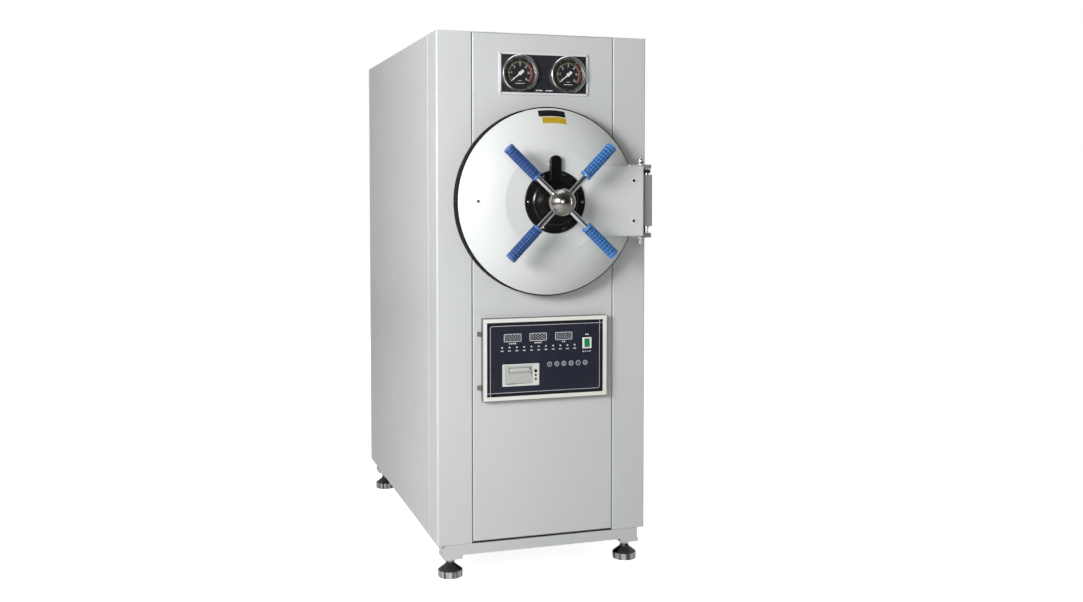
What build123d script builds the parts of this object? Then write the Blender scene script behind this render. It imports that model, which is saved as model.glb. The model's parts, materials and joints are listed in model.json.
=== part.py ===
from build123d import *
import os
from math import cos, radians, sin, sqrt

# Horizontal cylindrical steam steriliser on a floor-standing cabinet.
# X runs right, Y runs from the front to the back, Z runs up from the floor. Millimetres.
# Everything is drawn with Y = 0 on the cabinet's front face and moved back by CENTRE_Y when it is written.

# Cabinet
CABINET_W = 670
CABINET_D = 1190
SIDES_BOTTOM = 107      # lower edge of the posts, the side panels and the rear panel
FRONT_BOTTOM = 112      # lower edge of the front panel
CABINET_TOP = 1650
SHEET = 2
SEAM_X = 225.5          # middle of the seam between the front panel and each front post
SEAM_GAP = 2.4
FOLD_R = 3              # outside radius of a folded edge
POST_RETURN = 116       # depth of the front post's side
LIP = 15
BASE_HALF_W = 312
BASE_RAIL_BOTTOM = 74
BASE_RAIL_TOP = 106
BASE_RAIL_DEPTH = 60
FRAME_TUBE = 30
TUBE_WALL = 3
CRADLE_TOP = 845
CRADLE_YS = (280, 900)
GENERATOR_RAIL_YS = (720, 900)

# Feet
FOOT_X = 286
FOOT_YS = (46, CABINET_D - 46)
FOOT_R = 37.5
FOOT_STUD_R = 8
FOOT_PLATE = (58, 74)
FOOT_PLATE_BOTTOM = 62

# Chamber, all radii about the door axis
DOOR_Z = 1142
CHAMBER_R = 220
CHAMBER_BACK = 1010
CHAMBER_WALL = 5
DISH_RISE = 55          # depth of the vessel's domed back
JACKET_R = 239
JACKET_Y = (70, 990)
INSULATION_R = 281
DRAIN_Y = 200
PORT_R = 12
PORT_BOTTOM = 837       # lower end of the chamber's drain and steam ports
FLANGE_R = 263
FLANGE_FRONT = -3
FLANGE_BACK = 56
RING_BORE_R = 238       # bore that the door's plug enters
GROOVE_R = 254          # keeper groove for the lock bars
SEAT_Y = 38             # seal seat
SEAL_FRONT = 35
PANEL_HOLE_R = 266

# Door
RIM_R = 285
RIM_INNER_R = 268
RIM_FRONT = -45
RIM_BACK = -5
DOOR_PLATE_BACK = -33
PLUG_R = 231
PLUG_WALL = 12
PLUG_BACK = 34
GUIDE_R = 158           # ring inside the plug that guides the lock bars
COVER_R = 281
PLATEAU_R = 153
PLATEAU_Y = -106
WING_RIGHT = 285.5
WING_BOTTOM = 1038
WING_TOP = 1249
WING_BACK = -88
HUB_R = 94
HUB_FRONT = -119
HUB_STEP_R = 71
HUB_SCREW_R = 84
HUB_SCREW_ANGLES = (0, 72, 116, 180, 244, 288)
ARM_NECK_X = 255        # where the hinge arm comes out from under the cover

# Door hinge
HINGE_X = 309.5
HINGE_Y = -68
HINGE_PIN_R = 6.75
BARREL_R = 18
BARREL_Z = (1066, 1224)
LUG_Z = ((1031.3, 1045.3), (1242.7, 1254.8))
LUG_END_R = 15.5
LUG_FRONT = -84
RUNNING_GAP = 0.05      # radial gap of a shaft in its hole

# Handwheel and locking
BALL_Y = -170.5
BALL_R = 41.5
SPOKE_ANGLES = (46.2, 136.2, 226.2, 316.2)
SPOKE_R = 8.5
GRIP_START = 105
GRIP_END = 227
GRIP_R = 16.5
SPINDLE_R = 14
CAM_R = 126
CAM_Y = (-3, 4)
CAM_TURN = 90           # degrees of handwheel for the full bar travel
BAR_TRAVEL = 22
BAR_COUNT = 6
BAR_WIDTH = 40
BAR_Y = (8, 22)
BAR_INNER_R = 74
BAR_OUTER_R = 229.5
BAR_PIN_R = 5
BAR_PIN_AT = 86         # radius of the bar's pin with the bar withdrawn
BAR_GAP = 0.25
INTERLOCK_AT = 120.5
INTERLOCK_R = 3.5
INTERLOCK_Y = (-115, -4)

# Gauge panel
GAUGE_Z = 1529
GAUGE_X = 77
GAUGE_R = 56
GAUGE_FRAME = (143, 1465, 1593)
GAUGE_PLATE = (136, 1472, 1586)
DIAL_Y = -4
NEEDLE_LENGTH = 36
NEEDLE_ANGLE = 220      # direction at zero, anticlockwise from the right

# Control panel, a shallow door with its hinge on the left
PANEL_HALF_W = 199.5
PANEL_BOTTOM = 539.5
PANEL_TOP = 790.5
PANEL_BORDER = 13
PANEL_FRONT = -22
PANEL_BACK = -0.5
FACE_FRONT = -19
FACE_BACK = -16
PANEL_HINGE_X = -203.5
PANEL_HINGE_Y = -10
PANEL_HINGE_ZS = (580.5, 743.5)
PANEL_KNUCKLE_R = 3.5
PANEL_PIN_R = 1.5
DISPLAY_XS = (-105.4, -24.3, 58.1)
DISPLAY_W = 55
DISPLAY_H = 24
DISPLAY_Z = 730
PITCH = 23.2
LED_X = -138.3
LED_Z = 701
LED_COUNT = 11
BUTTON_X = 12
BUTTON_Z = 645
BUTTON_R = 7.5
BUTTON_COUNT = 6
SWITCH_X = 134
SWITCH_Z = 705.5
PRINTER_X = (-138, -22)
PRINTER_Z = (583, 650)

# Rear services
REAR_STUB_R = 10.5
REAR_STUB_BACK = 1212
REAR_STUBS = ((-180, 190), (-90, 190), (0, 190), (150, 1300))
GLAND = (230, 330)
GENERATOR = (0, 810)
GENERATOR_R = 120

# Middle of the whole depth, from the front of the handwheel's ball to the end of the rear stubs
CENTRE_Y = (BALL_Y - BALL_R + REAR_STUB_BACK) / 2


def block(x0, x1, y0, y1, z0, z1):
    """Box between two corners."""
    size = Box(x1 - x0, y1 - y0, z1 - z0)
    return Pos((x0 + x1) / 2, (y0 + y1) / 2, (z0 + z1) / 2) * size


def rod_x(y, z, radius, x0, x1):
    return Pos((x0 + x1) / 2, y, z) * Rot(0, 90, 0) * Cylinder(radius, x1 - x0)


def rod_y(x, z, radius, y0, y1):
    return Pos(x, (y0 + y1) / 2, z) * Rot(90, 0, 0) * Cylinder(radius, y1 - y0)


def rod_z(x, y, radius, z0, z1):
    return Pos(x, y, (z0 + z1) / 2) * Cylinder(radius, z1 - z0)


def turned(points, x=0, z=DOOR_Z):
    """Solid of revolution about a line along Y, from (radius, y) points."""
    face = make_face(Polyline(*points, close=True))
    return Pos(x, 0, z) * revolve(face, Axis.Y)


def dome(edge_r, edge_y, rise):
    """Arc of a sphere centred on the axis, from its edge to its crown."""
    sphere_r = (edge_r ** 2 + rise ** 2) / (2 * rise)
    mid_y = edge_y + rise - sphere_r + sqrt(sphere_r ** 2 - (edge_r / 2) ** 2)
    return ThreePointArc((edge_r, edge_y), (edge_r / 2, mid_y), (0, edge_y + rise))


def plate_y(sketch, y0, y1, x=0, z=DOOR_Z):
    """Sketch drawn in (x, z) about a centre, as a plate from y0 to y1."""
    return Pos(x, y1, z) * Rot(90, 0, 0) * extrude(sketch, y1 - y0)


def tube_along_x(x0, x1, y0, y1, z0, z1):
    hollow = block(x0 - 1, x1 + 1, y0 + TUBE_WALL, y1 - TUBE_WALL, z0 + TUBE_WALL, z1 - TUBE_WALL)
    return block(x0, x1, y0, y1, z0, z1) - hollow


def tube_along_y(x0, x1, y0, y1, z0, z1):
    hollow = block(x0 + TUBE_WALL, x1 - TUBE_WALL, y0 - 1, y1 + 1, z0 + TUBE_WALL, z1 - TUBE_WALL)
    return block(x0, x1, y0, y1, z0, z1) - hollow


def tube_along_z(x0, x1, y0, y1, z0, z1):
    hollow = block(x0 + TUBE_WALL, x1 - TUBE_WALL, y0 + TUBE_WALL, y1 - TUBE_WALL, z0 - 1, z1 + 1)
    return block(x0, x1, y0, y1, z0, z1) - hollow


def mirrored_x(solid):
    return mirror(solid, Plane.YZ)


def pipe(points, radius, bend):
    """Round bar or pipe along straight runs joined by arcs."""
    path = FilletPolyline(*points, radius=bend)
    start = Plane(origin=path @ 0, z_dir=path % 0)
    return sweep(start * Circle(radius), path=path)


def on_door(radius, degrees):
    """X and Z of a point at a radius about the door axis."""
    return radius * cos(radians(degrees)), DOOR_Z + radius * sin(radians(degrees))


def hexagon_z(x, y, across_flats, z0, z1):
    sketch = RegularPolygon(across_flats / 2, 6, major_radius=False)
    return Pos(x, y, z0) * extrude(sketch, z1 - z0)


# ---------------------------------------------------------------- cabinet

def base_frame():
    """Base rails, the foot plates under their corners and the two rails below the generator."""
    rails = []
    for y0 in (1, CABINET_D - 1 - BASE_RAIL_DEPTH):
        rail = tube_along_x(-BASE_HALF_W, BASE_HALF_W, y0, y0 + BASE_RAIL_DEPTH,
                            BASE_RAIL_BOTTOM, BASE_RAIL_TOP)
        for x in (-FOOT_X, FOOT_X):
            y = min(FOOT_YS, key=lambda foot_y: abs(foot_y - y0 - BASE_RAIL_DEPTH / 2))
            rail -= rod_z(x, y, FOOT_STUD_R + RUNNING_GAP, BASE_RAIL_BOTTOM - 1,
                          BASE_RAIL_BOTTOM + TUBE_WALL + 1)
        rails.append(rail)
    side_start = 1 + BASE_RAIL_DEPTH
    for x0 in (-BASE_HALF_W, BASE_HALF_W - BASE_RAIL_DEPTH):
        rails.append(tube_along_y(x0, x0 + BASE_RAIL_DEPTH, side_start, CABINET_D - side_start,
                                  BASE_RAIL_BOTTOM, BASE_RAIL_TOP))
    inner = BASE_HALF_W - BASE_RAIL_DEPTH
    for y in GENERATOR_RAIL_YS:
        rails.append(tube_along_x(-inner, inner, y - 20, y + 20, BASE_RAIL_BOTTOM, BASE_RAIL_TOP))
    for x in (-FOOT_X, FOOT_X):
        for y in FOOT_YS:
            half = FOOT_PLATE[0] / 2
            y_low = 1 if y == FOOT_YS[0] else CABINET_D - 1 - FOOT_PLATE[1]
            plate = block(x - half, x + half, y_low, y_low + FOOT_PLATE[1], FOOT_PLATE_BOTTOM, BASE_RAIL_BOTTOM)
            plate -= rod_z(x, y, FOOT_STUD_R + RUNNING_GAP, FOOT_PLATE_BOTTOM - 1, BASE_RAIL_BOTTOM + 1)
            rails.append(plate)
    return rails


def cradle(y):
    """Cross rail and saddle under the insulated chamber."""
    half = CABINET_W / 2 - LIP - FRAME_TUBE
    rail = tube_along_x(-half, half, y - 20, y + 20, CRADLE_TOP - 40, CRADLE_TOP)
    saddle = block(-170, 170, y - 15, y + 15, CRADLE_TOP, CRADLE_TOP + 80)
    saddle -= rod_y(0, DOOR_Z, INSULATION_R + 0.5, y - 16, y + 16)
    return [rail, saddle]


def cabinet_frame():
    outer = CABINET_W / 2 - LIP
    inner = outer - FRAME_TUBE
    top_z = CABINET_TOP - SHEET
    post_ys = ((18, 18 + FRAME_TUBE), (CABINET_D - 18 - FRAME_TUBE, CABINET_D - 18))
    tubes = base_frame()
    for y0, y1 in post_ys:
        for x0, x1 in ((-outer, -inner), (inner, outer)):
            tubes.append(tube_along_z(x0, x1, y0, y1, BASE_RAIL_TOP, top_z - FRAME_TUBE))
        tubes.append(tube_along_x(-outer, outer, y0, y1, top_z - FRAME_TUBE, top_z))
    for x0, x1 in ((-outer, -inner), (inner, outer)):
        y0 = post_ys[0][1]
        y1 = post_ys[1][0]
        tubes.append(tube_along_y(x0, x1, y0, y1, top_z - FRAME_TUBE, top_z))
        tubes.append(tube_along_y(x0, x1, y0, y1, CRADLE_TOP - 40, CRADLE_TOP))
    for y in CRADLE_YS:
        tubes += cradle(y)
    return Compound(tubes)


def side_panel_right():
    """Folded sheet with a flange along each upright edge."""
    outer = CABINET_W / 2
    y0 = POST_RETURN + SEAM_GAP
    y1 = CABINET_D - SHEET
    top = CABINET_TOP - SHEET
    panel = block(outer - SHEET, outer, y0, y1, SIDES_BOTTOM, top)
    for edge in (y0, y1 - SHEET):
        panel += block(outer - LIP, outer - SHEET, edge, edge + SHEET, SIDES_BOTTOM, top)
    corners = panel.edges().filter_by(Axis.Z).group_by(Axis.X)[-1]
    return fillet(corners, FOLD_R)


def front_post_right():
    """Corner post: front strip, side and a stiffening lip on each edge, cut round for the chamber."""
    outer = CABINET_W / 2
    inner = SEAM_X + SEAM_GAP / 2
    top = CABINET_TOP - SHEET
    post = block(inner, outer, 0, POST_RETURN, SIDES_BOTTOM, top)
    post = fillet(post.edges().filter_by(Axis.Z).group_by(Axis.X)[-1].sort_by(Axis.Y)[0], 5)
    seam_fold = post.edges().filter_by(Axis.Z).group_by(Axis.X)[0].sort_by(Axis.Y)[0]
    rear_fold = post.edges().filter_by(Axis.Z).group_by(Axis.X)[-1].sort_by(Axis.Y)[-1]
    post = fillet([seam_fold, rear_fold], FOLD_R)
    hollow = block(inner + SHEET, outer - SHEET, SHEET, POST_RETURN - SHEET, SIDES_BOTTOM - 1, top + 1)
    hollow_corner = hollow.edges().filter_by(Axis.Z).group_by(Axis.X)[-1].sort_by(Axis.Y)[0]
    post -= fillet(hollow_corner, 3)
    post -= block(inner - 1, outer - LIP, LIP, POST_RETURN + 1, SIDES_BOTTOM - 1, top + 1)
    return post - rod_y(0, DOOR_Z, PANEL_HOLE_R, -1, LIP + 1)


def front_panels():
    """Folded front sheets above and below the chamber, with the gauge holes and the control opening."""
    half = SEAM_X - SEAM_GAP / 2
    top = CABINET_TOP - SHEET
    panel = block(-half, half, 0, LIP, FRONT_BOTTOM, top)
    panel = fillet(panel.faces().sort_by(Axis.Y)[0].edges(), FOLD_R)
    panel -= block(-half + SHEET, half - SHEET, SHEET, LIP + 1, FRONT_BOTTOM + SHEET, top - SHEET)
    panel -= rod_y(0, DOOR_Z, PANEL_HOLE_R, -1, LIP + 1)
    for x in (-GAUGE_X, GAUGE_X):
        panel -= rod_y(x, GAUGE_Z, 51, -1, SHEET + 1)
    panel -= block(-172, 172, -1, SHEET + 1, 555, 775)
    return panel


def rear_panel():
    """Back sheet with two columns of ventilation slots and the holes of the services."""
    half = CABINET_W / 2
    panel = block(-half, half, CABINET_D - SHEET, CABINET_D, SIDES_BOTTOM, CABINET_TOP - SHEET)
    slots = [Pos(x, 760 + 40 * row) * SlotOverall(120, 10) for x in (-150, 150) for row in range(12)]
    panel -= plate_y(Sketch() + slots, CABINET_D - SHEET - 1, CABINET_D + 1, z=0)
    for x, z in REAR_STUBS:
        panel -= rod_y(x, z, REAR_STUB_R + 0.5, CABINET_D - SHEET - 1, CABINET_D + 1)
    panel -= rod_y(GLAND[0], GLAND[1], 9.5, CABINET_D - SHEET - 1, CABINET_D + 1)
    return panel


def top_cover():
    half = CABINET_W / 2
    cover = block(-half, half, 0, CABINET_D, CABINET_TOP - SHEET, CABINET_TOP)
    cover = fillet(cover.edges().group_by(Axis.Z)[-1], 1.2)
    slots = [Pos(0, 880 + 30 * row) * SlotOverall(260, 9) for row in range(8)]
    return cover - Pos(0, 0, CABINET_TOP - SHEET - 1) * extrude(Sketch() + slots, SHEET + 2)


def foot(x, y):
    """Levelling foot: round steel pad with a conical top, a lock nut and a threaded stud."""
    half_section = Polyline((0, 0), (FOOT_R - 1, 0), (FOOT_R, 1), (FOOT_R, 20), (FOOT_R - 1, 21),
                            (15, 38), (13, 46), (0, 46), close=True)
    pad = revolve(make_face(Plane.XZ * half_section), Axis.Z)
    stud = rod_z(0, 0, FOOT_STUD_R, 46, 98)
    return Pos(x, y, 0) * (pad + stud + hexagon_z(0, 0, 24, 46, 61))


# ---------------------------------------------------------------- chamber

def chamber_vessel():
    """Inner shell with a dished back, the steam jacket round it and three ports."""
    r_out = CHAMBER_R + CHAMBER_WALL
    jacket_wall = 3
    dish_in = dome(CHAMBER_R, CHAMBER_BACK, DISH_RISE)
    dish_out = dome(r_out, CHAMBER_BACK, DISH_RISE + 7)
    outside = Polyline((r_out, CHAMBER_BACK), (r_out, JACKET_Y[1]), (JACKET_R, JACKET_Y[1]),
                       (JACKET_R, JACKET_Y[0]), (r_out, JACKET_Y[0]), (r_out, FLANGE_BACK),
                       (CHAMBER_R, FLANGE_BACK), (CHAMBER_R, CHAMBER_BACK))
    section = make_face([dish_in, Line(dish_in @ 1, dish_out @ 1), dish_out, outside])
    vessel = Pos(0, 0, DOOR_Z) * revolve(section, Axis.Y)
    vessel -= turned([(r_out, JACKET_Y[0] + jacket_wall), (JACKET_R - jacket_wall, JACKET_Y[0] + jacket_wall),
                      (JACKET_R - jacket_wall, JACKET_Y[1] - jacket_wall), (r_out, JACKET_Y[1] - jacket_wall)])
    for y in (DRAIN_Y, GENERATOR[1]):
        vessel += rod_z(0, y, PORT_R, PORT_BOTTOM, DOOR_Z - CHAMBER_R - 2)
        vessel -= rod_z(0, y, PORT_R - 3, PORT_BOTTOM - 1, DOOR_Z - CHAMBER_R + 1)
    return vessel


def chamber_flange():
    """Heavy front ring: bore for the plug, keeper groove for the bars and the seal seat."""
    body = turned([(CHAMBER_R, SEAT_Y), (RING_BORE_R, SEAT_Y), (RING_BORE_R, BAR_Y[1] + 1),
                   (GROOVE_R, BAR_Y[1] + 1), (GROOVE_R, BAR_Y[0] - 1), (RING_BORE_R, BAR_Y[0] - 1),
                   (RING_BORE_R, FLANGE_FRONT), (FLANGE_R, FLANGE_FRONT), (FLANGE_R, FLANGE_BACK),
                   (CHAMBER_R, FLANGE_BACK)])
    seal_groove = turned([(225, SEAT_Y - 1), (235, SEAT_Y - 1), (235, 45), (225, 45)])
    return body - seal_groove


def door_seal():
    """Square silicone ring in the seat's groove, with a rounded front."""
    ring = turned([(225, 45), (225, SEAL_FRONT + 1), (226, SEAL_FRONT), (234, SEAL_FRONT),
                   (235, SEAL_FRONT + 1), (235, 45)])
    return ring


def insulation():
    """Blanket round the jacket and behind the dished back."""
    shell = turned([(JACKET_R, 76), (INSULATION_R, 76), (INSULATION_R, CHAMBER_BACK + 100),
                    (0, CHAMBER_BACK + 100), (0, CHAMBER_BACK + 63), (JACKET_R, CHAMBER_BACK + 63)])
    for y in (DRAIN_Y, GENERATOR[1]):
        shell -= rod_z(0, y, PORT_R, DOOR_Z - INSULATION_R - 1, DOOR_Z - JACKET_R + 1)
    return shell


def loading_rack():
    """Low wire tray on the chamber floor: two runners, cross wires and a raised rail along each side."""
    x = 110
    runner_z = DOOR_Z - sqrt((CHAMBER_R - 4.4) ** 2 - x ** 2)
    rack = [rod_y(side, runner_z, 4, 90, 960) for side in (-x, x)]
    rack += [rod_y(side, runner_z + 26, 3, 90, 960) for side in (-x, x)]
    for index in range(22):
        y = 100 + index * 850 / 21
        rack.append(rod_x(y, runner_z + 2.5, 2, -x - 1, x + 1))
    for side in (-x, x):
        rack += [rod_z(side, y, 2.5, runner_z, runner_z + 26) for y in (120, 380, 670, 930)]
    return Part() + rack


# ---------------------------------------------------------------- door

def bar_window(degrees, r0, r1, gap):
    """Rectangular passage for one lock bar between two radii."""
    half_w = BAR_WIDTH / 2 + gap
    passage = block(r0, r1, BAR_Y[0] - gap, BAR_Y[1] + gap, -half_w, half_w)
    return Pos(0, 0, DOOR_Z) * Rot(0, -degrees, 0) * passage


def bar_angles():
    return [360 / BAR_COUNT * index for index in range(BAR_COUNT)]


def door_body():
    """Steel door plate, its black rim, the plug that enters the chamber ring and the bars' guide ring."""
    plug_inner = PLUG_R - PLUG_WALL
    body = turned([(SPINDLE_R + RUNNING_GAP, RIM_FRONT), (RIM_R - 1, RIM_FRONT), (RIM_R, RIM_FRONT + 1),
                   (RIM_R, RIM_BACK - 1), (RIM_R - 1, RIM_BACK), (RIM_INNER_R, RIM_BACK),
                   (RIM_INNER_R, DOOR_PLATE_BACK), (PLUG_R, DOOR_PLATE_BACK), (PLUG_R, PLUG_BACK),
                   (plug_inner, PLUG_BACK), (plug_inner, 28), (GUIDE_R - 8, 28), (GUIDE_R - 8, 6),
                   (GUIDE_R, 6), (GUIDE_R, 24), (plug_inner, 24), (plug_inner, DOOR_PLATE_BACK),
                   (SPINDLE_R + RUNNING_GAP, DOOR_PLATE_BACK)])
    for degrees in bar_angles():
        body -= bar_window(degrees, GUIDE_R - 12, PLUG_R + 4, BAR_GAP)
    x, z = on_door(INTERLOCK_AT, 90)
    return body - rod_y(x, z, INTERLOCK_R + RUNNING_GAP, RIM_FRONT - 1, DOOR_PLATE_BACK + 1)


def door_liner():
    """Dished stainless sheet that closes the plug."""
    edge = PLUG_R - PLUG_WALL - 0.2
    face_in = Spline((0, 44), (110, 40), (180, 32), (edge, 28), tangents=((1, 0), (1, 0)))
    face_out = Spline((0, 48), (110, 44), (180, 36), (edge, 32), tangents=((1, 0), (1, 0)))
    outline = [face_in, Line(face_in @ 1, face_out @ 1), face_out, Line(face_out @ 0, face_in @ 0)]
    return Pos(0, 0, DOOR_Z) * revolve(make_face(outline), Axis.Y)


def cover_form(inset):
    """Solid form of the cover: flat centre, convex skirt and the wing over the hinge arm."""
    front = PLATEAU_Y + inset
    skirt_r = COVER_R - inset
    skirt = ThreePointArc((PLATEAU_R, front), (222 - 0.5 * inset, -85 + 0.9 * inset), (skirt_r, -48 + inset))
    outline = [Line((0, front), (PLATEAU_R, front)), skirt, Line((skirt_r, -48 + inset), (skirt_r, RIM_FRONT)),
               Line((skirt_r, RIM_FRONT), (0, RIM_FRONT)), Line((0, RIM_FRONT), (0, front))]
    form = Pos(0, 0, DOOR_Z) * revolve(make_face(outline), Axis.Y)
    wing = block(110, WING_RIGHT - inset, front, WING_BACK, WING_BOTTOM + inset, WING_TOP - inset)
    return form + wing


def door_cover():
    """Pressed sheet cover, open behind the wing where the hinge arm passes."""
    cover = cover_form(0)
    rounded = cover.edges().filter_by(Axis.Z).group_by(Axis.X)[-1].sort_by(Axis.Y)[0]
    cover = fillet(rounded, 3)
    cover -= cover_form(SHEET)
    cover -= rod_y(0, DOOR_Z, 46, PLATEAU_Y - 1, PLATEAU_Y + SHEET + 1)
    cover -= block(198, WING_RIGHT + 1, WING_BACK, RIM_FRONT + 1, WING_BOTTOM + SHEET, WING_TOP - SHEET)
    cover -= block(ARM_NECK_X - 1, WING_RIGHT + 1, WING_BACK, RIM_FRONT + 1, LUG_Z[0][0] - 1, LUG_Z[1][1] + 1)
    x, z = on_door(INTERLOCK_AT, 90)
    return cover - rod_y(x, z, INTERLOCK_R + RUNNING_GAP, PLATEAU_Y - 1, PLATEAU_Y + SHEET + 1)


def door_arm():
    """Hinge arm bolted to the door plate: foot plate, web and two lugs with the pin's holes."""
    low = WING_BOTTOM + SHEET + 1
    high = WING_TOP - SHEET - 1
    arm = block(205, 258, -57, RIM_FRONT, low, high)
    arm += block(205, 219, LUG_FRONT, -57, low, high)
    for z0, z1 in LUG_Z:
        arm += block(205, 258, LUG_FRONT, RIM_FRONT, max(z0, low), min(z1, high))
        arm += block(ARM_NECK_X, HINGE_X, HINGE_Y - LUG_END_R, HINGE_Y + LUG_END_R, z0, z1)
        arm += rod_z(HINGE_X, HINGE_Y, LUG_END_R, z0, z1)
        arm -= rod_z(HINGE_X, HINGE_Y, HINGE_PIN_R + 0.01, z0 - 1, z1 + 1)
        arm -= rod_z(284, -76, 4.05, z0 - 1, z1 + 1)
    return arm


def hinge_pin():
    """Pin through the lugs and the fixed barrel, with a thrust washer at each end of the barrel."""
    pin = rod_z(HINGE_X, HINGE_Y, HINGE_PIN_R, LUG_Z[0][0] - 1, LUG_Z[1][1] + 1)
    for z0, z1 in ((BARREL_Z[0] - 5, BARREL_Z[0] - 0.5), (BARREL_Z[1] + 0.5, BARREL_Z[1] + 5)):
        pin += rod_z(HINGE_X, HINGE_Y, 10, z0, z1)
    return pin


def hinge_bracket():
    """Fixed hinge barrel on a web and a bolted foot."""
    barrel = rod_z(HINGE_X, HINGE_Y, BARREL_R, *BARREL_Z)
    web = block(HINGE_X - 7, HINGE_X + 7, HINGE_Y, -5, 1080, 1210)
    foot_plate = block(289, 333, -5, 0, 1072, 1218)
    bracket = barrel + web + foot_plate
    return bracket - rod_z(HINGE_X, HINGE_Y, HINGE_PIN_R + RUNNING_GAP, 1000, 1300)


def hub_housing():
    """Cast hub on the cover: stepped disc, neck down to the door plate and the interlock's lug."""
    hub = turned([(SPINDLE_R + RUNNING_GAP, HUB_FRONT), (HUB_STEP_R - 4, HUB_FRONT), (HUB_STEP_R, -116),
                  (HUB_STEP_R, -112), (HUB_R - 2, -112), (HUB_R, -110), (HUB_R, PLATEAU_Y),
                  (40, PLATEAU_Y), (40, RIM_FRONT), (SPINDLE_R + RUNNING_GAP, RIM_FRONT)])
    lug = plate_y(Pos(0, 90) * SlotOverall(96, 35, rotation=90), HUB_FRONT, PLATEAU_Y)
    lug = fillet(lug.edges().group_by(Axis.Y)[0], 2.5)
    hub += lug - rod_y(0, DOOR_Z, HUB_STEP_R - 4, HUB_FRONT - 1, PLATEAU_Y + 1)
    x, z = on_door(INTERLOCK_AT, 90)
    return hub - rod_y(x, z, INTERLOCK_R + RUNNING_GAP, INTERLOCK_Y[0] - 1, PLATEAU_Y + 1)


def interlock_pin():
    """Pin that enters the cam disc and stops the handwheel."""
    x, z = on_door(INTERLOCK_AT, 90)
    return rod_y(x, z, INTERLOCK_R, *INTERLOCK_Y)


def acorn_nut(direction, z):
    """Domed nut on the arm, pointing up or down."""
    nut = hexagon_z(0, 0, 13, 0, 8) + Pos(0, 0, 8) * Sphere(6) + rod_z(0, 0, 9, 0, 1.5)
    if direction < 0:
        nut = mirror(nut, Plane.XY)
    return Pos(284, -76, z) * nut


def door_fasteners():
    """Arm bolts with domed nuts, hub screws and cover screws."""
    parts = [acorn_nut(1, LUG_Z[1][1]), acorn_nut(-1, LUG_Z[0][0])]
    for z0, z1 in LUG_Z:
        parts.append(rod_z(284, -76, 4, z0, z1))
    for degrees in HUB_SCREW_ANGLES:
        x, z = on_door(HUB_SCREW_R, degrees)
        parts.append(rod_y(x, z, 4, -115, -112))
    for z in (1083.2, 1205.5):
        parts.append(rod_y(252.5, z, 4, PLATEAU_Y - 1.2, PLATEAU_Y))
    return Compound(parts)


# ---------------------------------------------------------------- handwheel and locking

def spoke_form(radius, r0, r1):
    bars = []
    for degrees in SPOKE_ANGLES:
        bar = rod_x(0, 0, radius, r0, r1)
        bars.append(Pos(0, BALL_Y, DOOR_Z) * Rot(0, -degrees, 0) * bar)
    return bars


def wheel_ball():
    rear = sqrt(BALL_R ** 2 - SPINDLE_R ** 2)
    surface = ThreePointArc((0, BALL_Y - BALL_R), (BALL_R, BALL_Y), (SPINDLE_R, BALL_Y + rear))
    socket = Polyline((SPINDLE_R, BALL_Y + rear), (SPINDLE_R, BALL_Y + 18), (0, BALL_Y + 18),
                      (0, BALL_Y - BALL_R))
    ball = Pos(0, 0, DOOR_Z) * revolve(make_face([surface, socket]), Axis.Y)
    for hole in spoke_form(SPOKE_R, BALL_R - 12, BALL_R + 5):
        ball -= hole
    return ball


def wheel_spokes():
    return Compound(spoke_form(SPOKE_R, BALL_R - 12, GRIP_END - 6))


def wheel_grips():
    """Moulded grips with a flared collar inside and two ring grooves outside."""
    profile = [(SPOKE_R, GRIP_START), (GRIP_R + 0.8, GRIP_START), (GRIP_R + 1.4, GRIP_START + 2),
               (GRIP_R + 1.4, GRIP_START + 6), (GRIP_R - 1, GRIP_START + 9), (GRIP_R - 1, GRIP_START + 13),
               (GRIP_R, GRIP_START + 15), (GRIP_R, GRIP_END - 20), (GRIP_R - 1.2, GRIP_END - 18),
               (GRIP_R - 1.2, GRIP_END - 15), (GRIP_R, GRIP_END - 13), (GRIP_R, GRIP_END - 3),
               (GRIP_R - 3, GRIP_END), (0, GRIP_END), (0, GRIP_END - 6), (SPOKE_R, GRIP_END - 6)]
    grip = revolve(make_face(Polyline(*profile, close=True)), Axis.Y)
    grips = []
    for degrees in SPOKE_ANGLES:
        grips.append(Pos(0, BALL_Y, DOOR_Z) * Rot(0, -degrees, 0) * Rot(0, 0, -90) * grip)
    return Compound(grips)


def wheel_spindle():
    shaft = rod_y(0, DOOR_Z, SPINDLE_R, BALL_Y + 18, CAM_Y[1])
    collar = rod_y(0, DOOR_Z, 24, -122, -119.4)
    return shaft + collar


def spiral_slot(start_degrees):
    """Slot of constant lead, swept through CAM_TURN degrees from its inner end."""
    half_w = BAR_PIN_R + BAR_GAP
    inner = []
    outer = []
    steps = 12
    for step in range(steps + 1):
        turn = CAM_TURN * step / steps
        centre = BAR_PIN_AT + BAR_TRAVEL * step / steps
        angle = radians(start_degrees + turn)
        inner.append(((centre - half_w) * cos(angle), (centre - half_w) * sin(angle)))
        outer.append(((centre + half_w) * cos(angle), (centre + half_w) * sin(angle)))
    low = Spline(*inner)
    high = Spline(*outer)
    slot = make_face([low, Line(inner[-1], outer[-1]), high, Line(inner[0], outer[0])])
    ends = Sketch() + slot
    for degrees, radius in ((start_degrees, BAR_PIN_AT), (start_degrees + CAM_TURN, BAR_PIN_AT + BAR_TRAVEL)):
        angle = radians(degrees)
        ends += Pos(radius * cos(angle), radius * sin(angle)) * Circle(half_w)
    return ends


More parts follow.
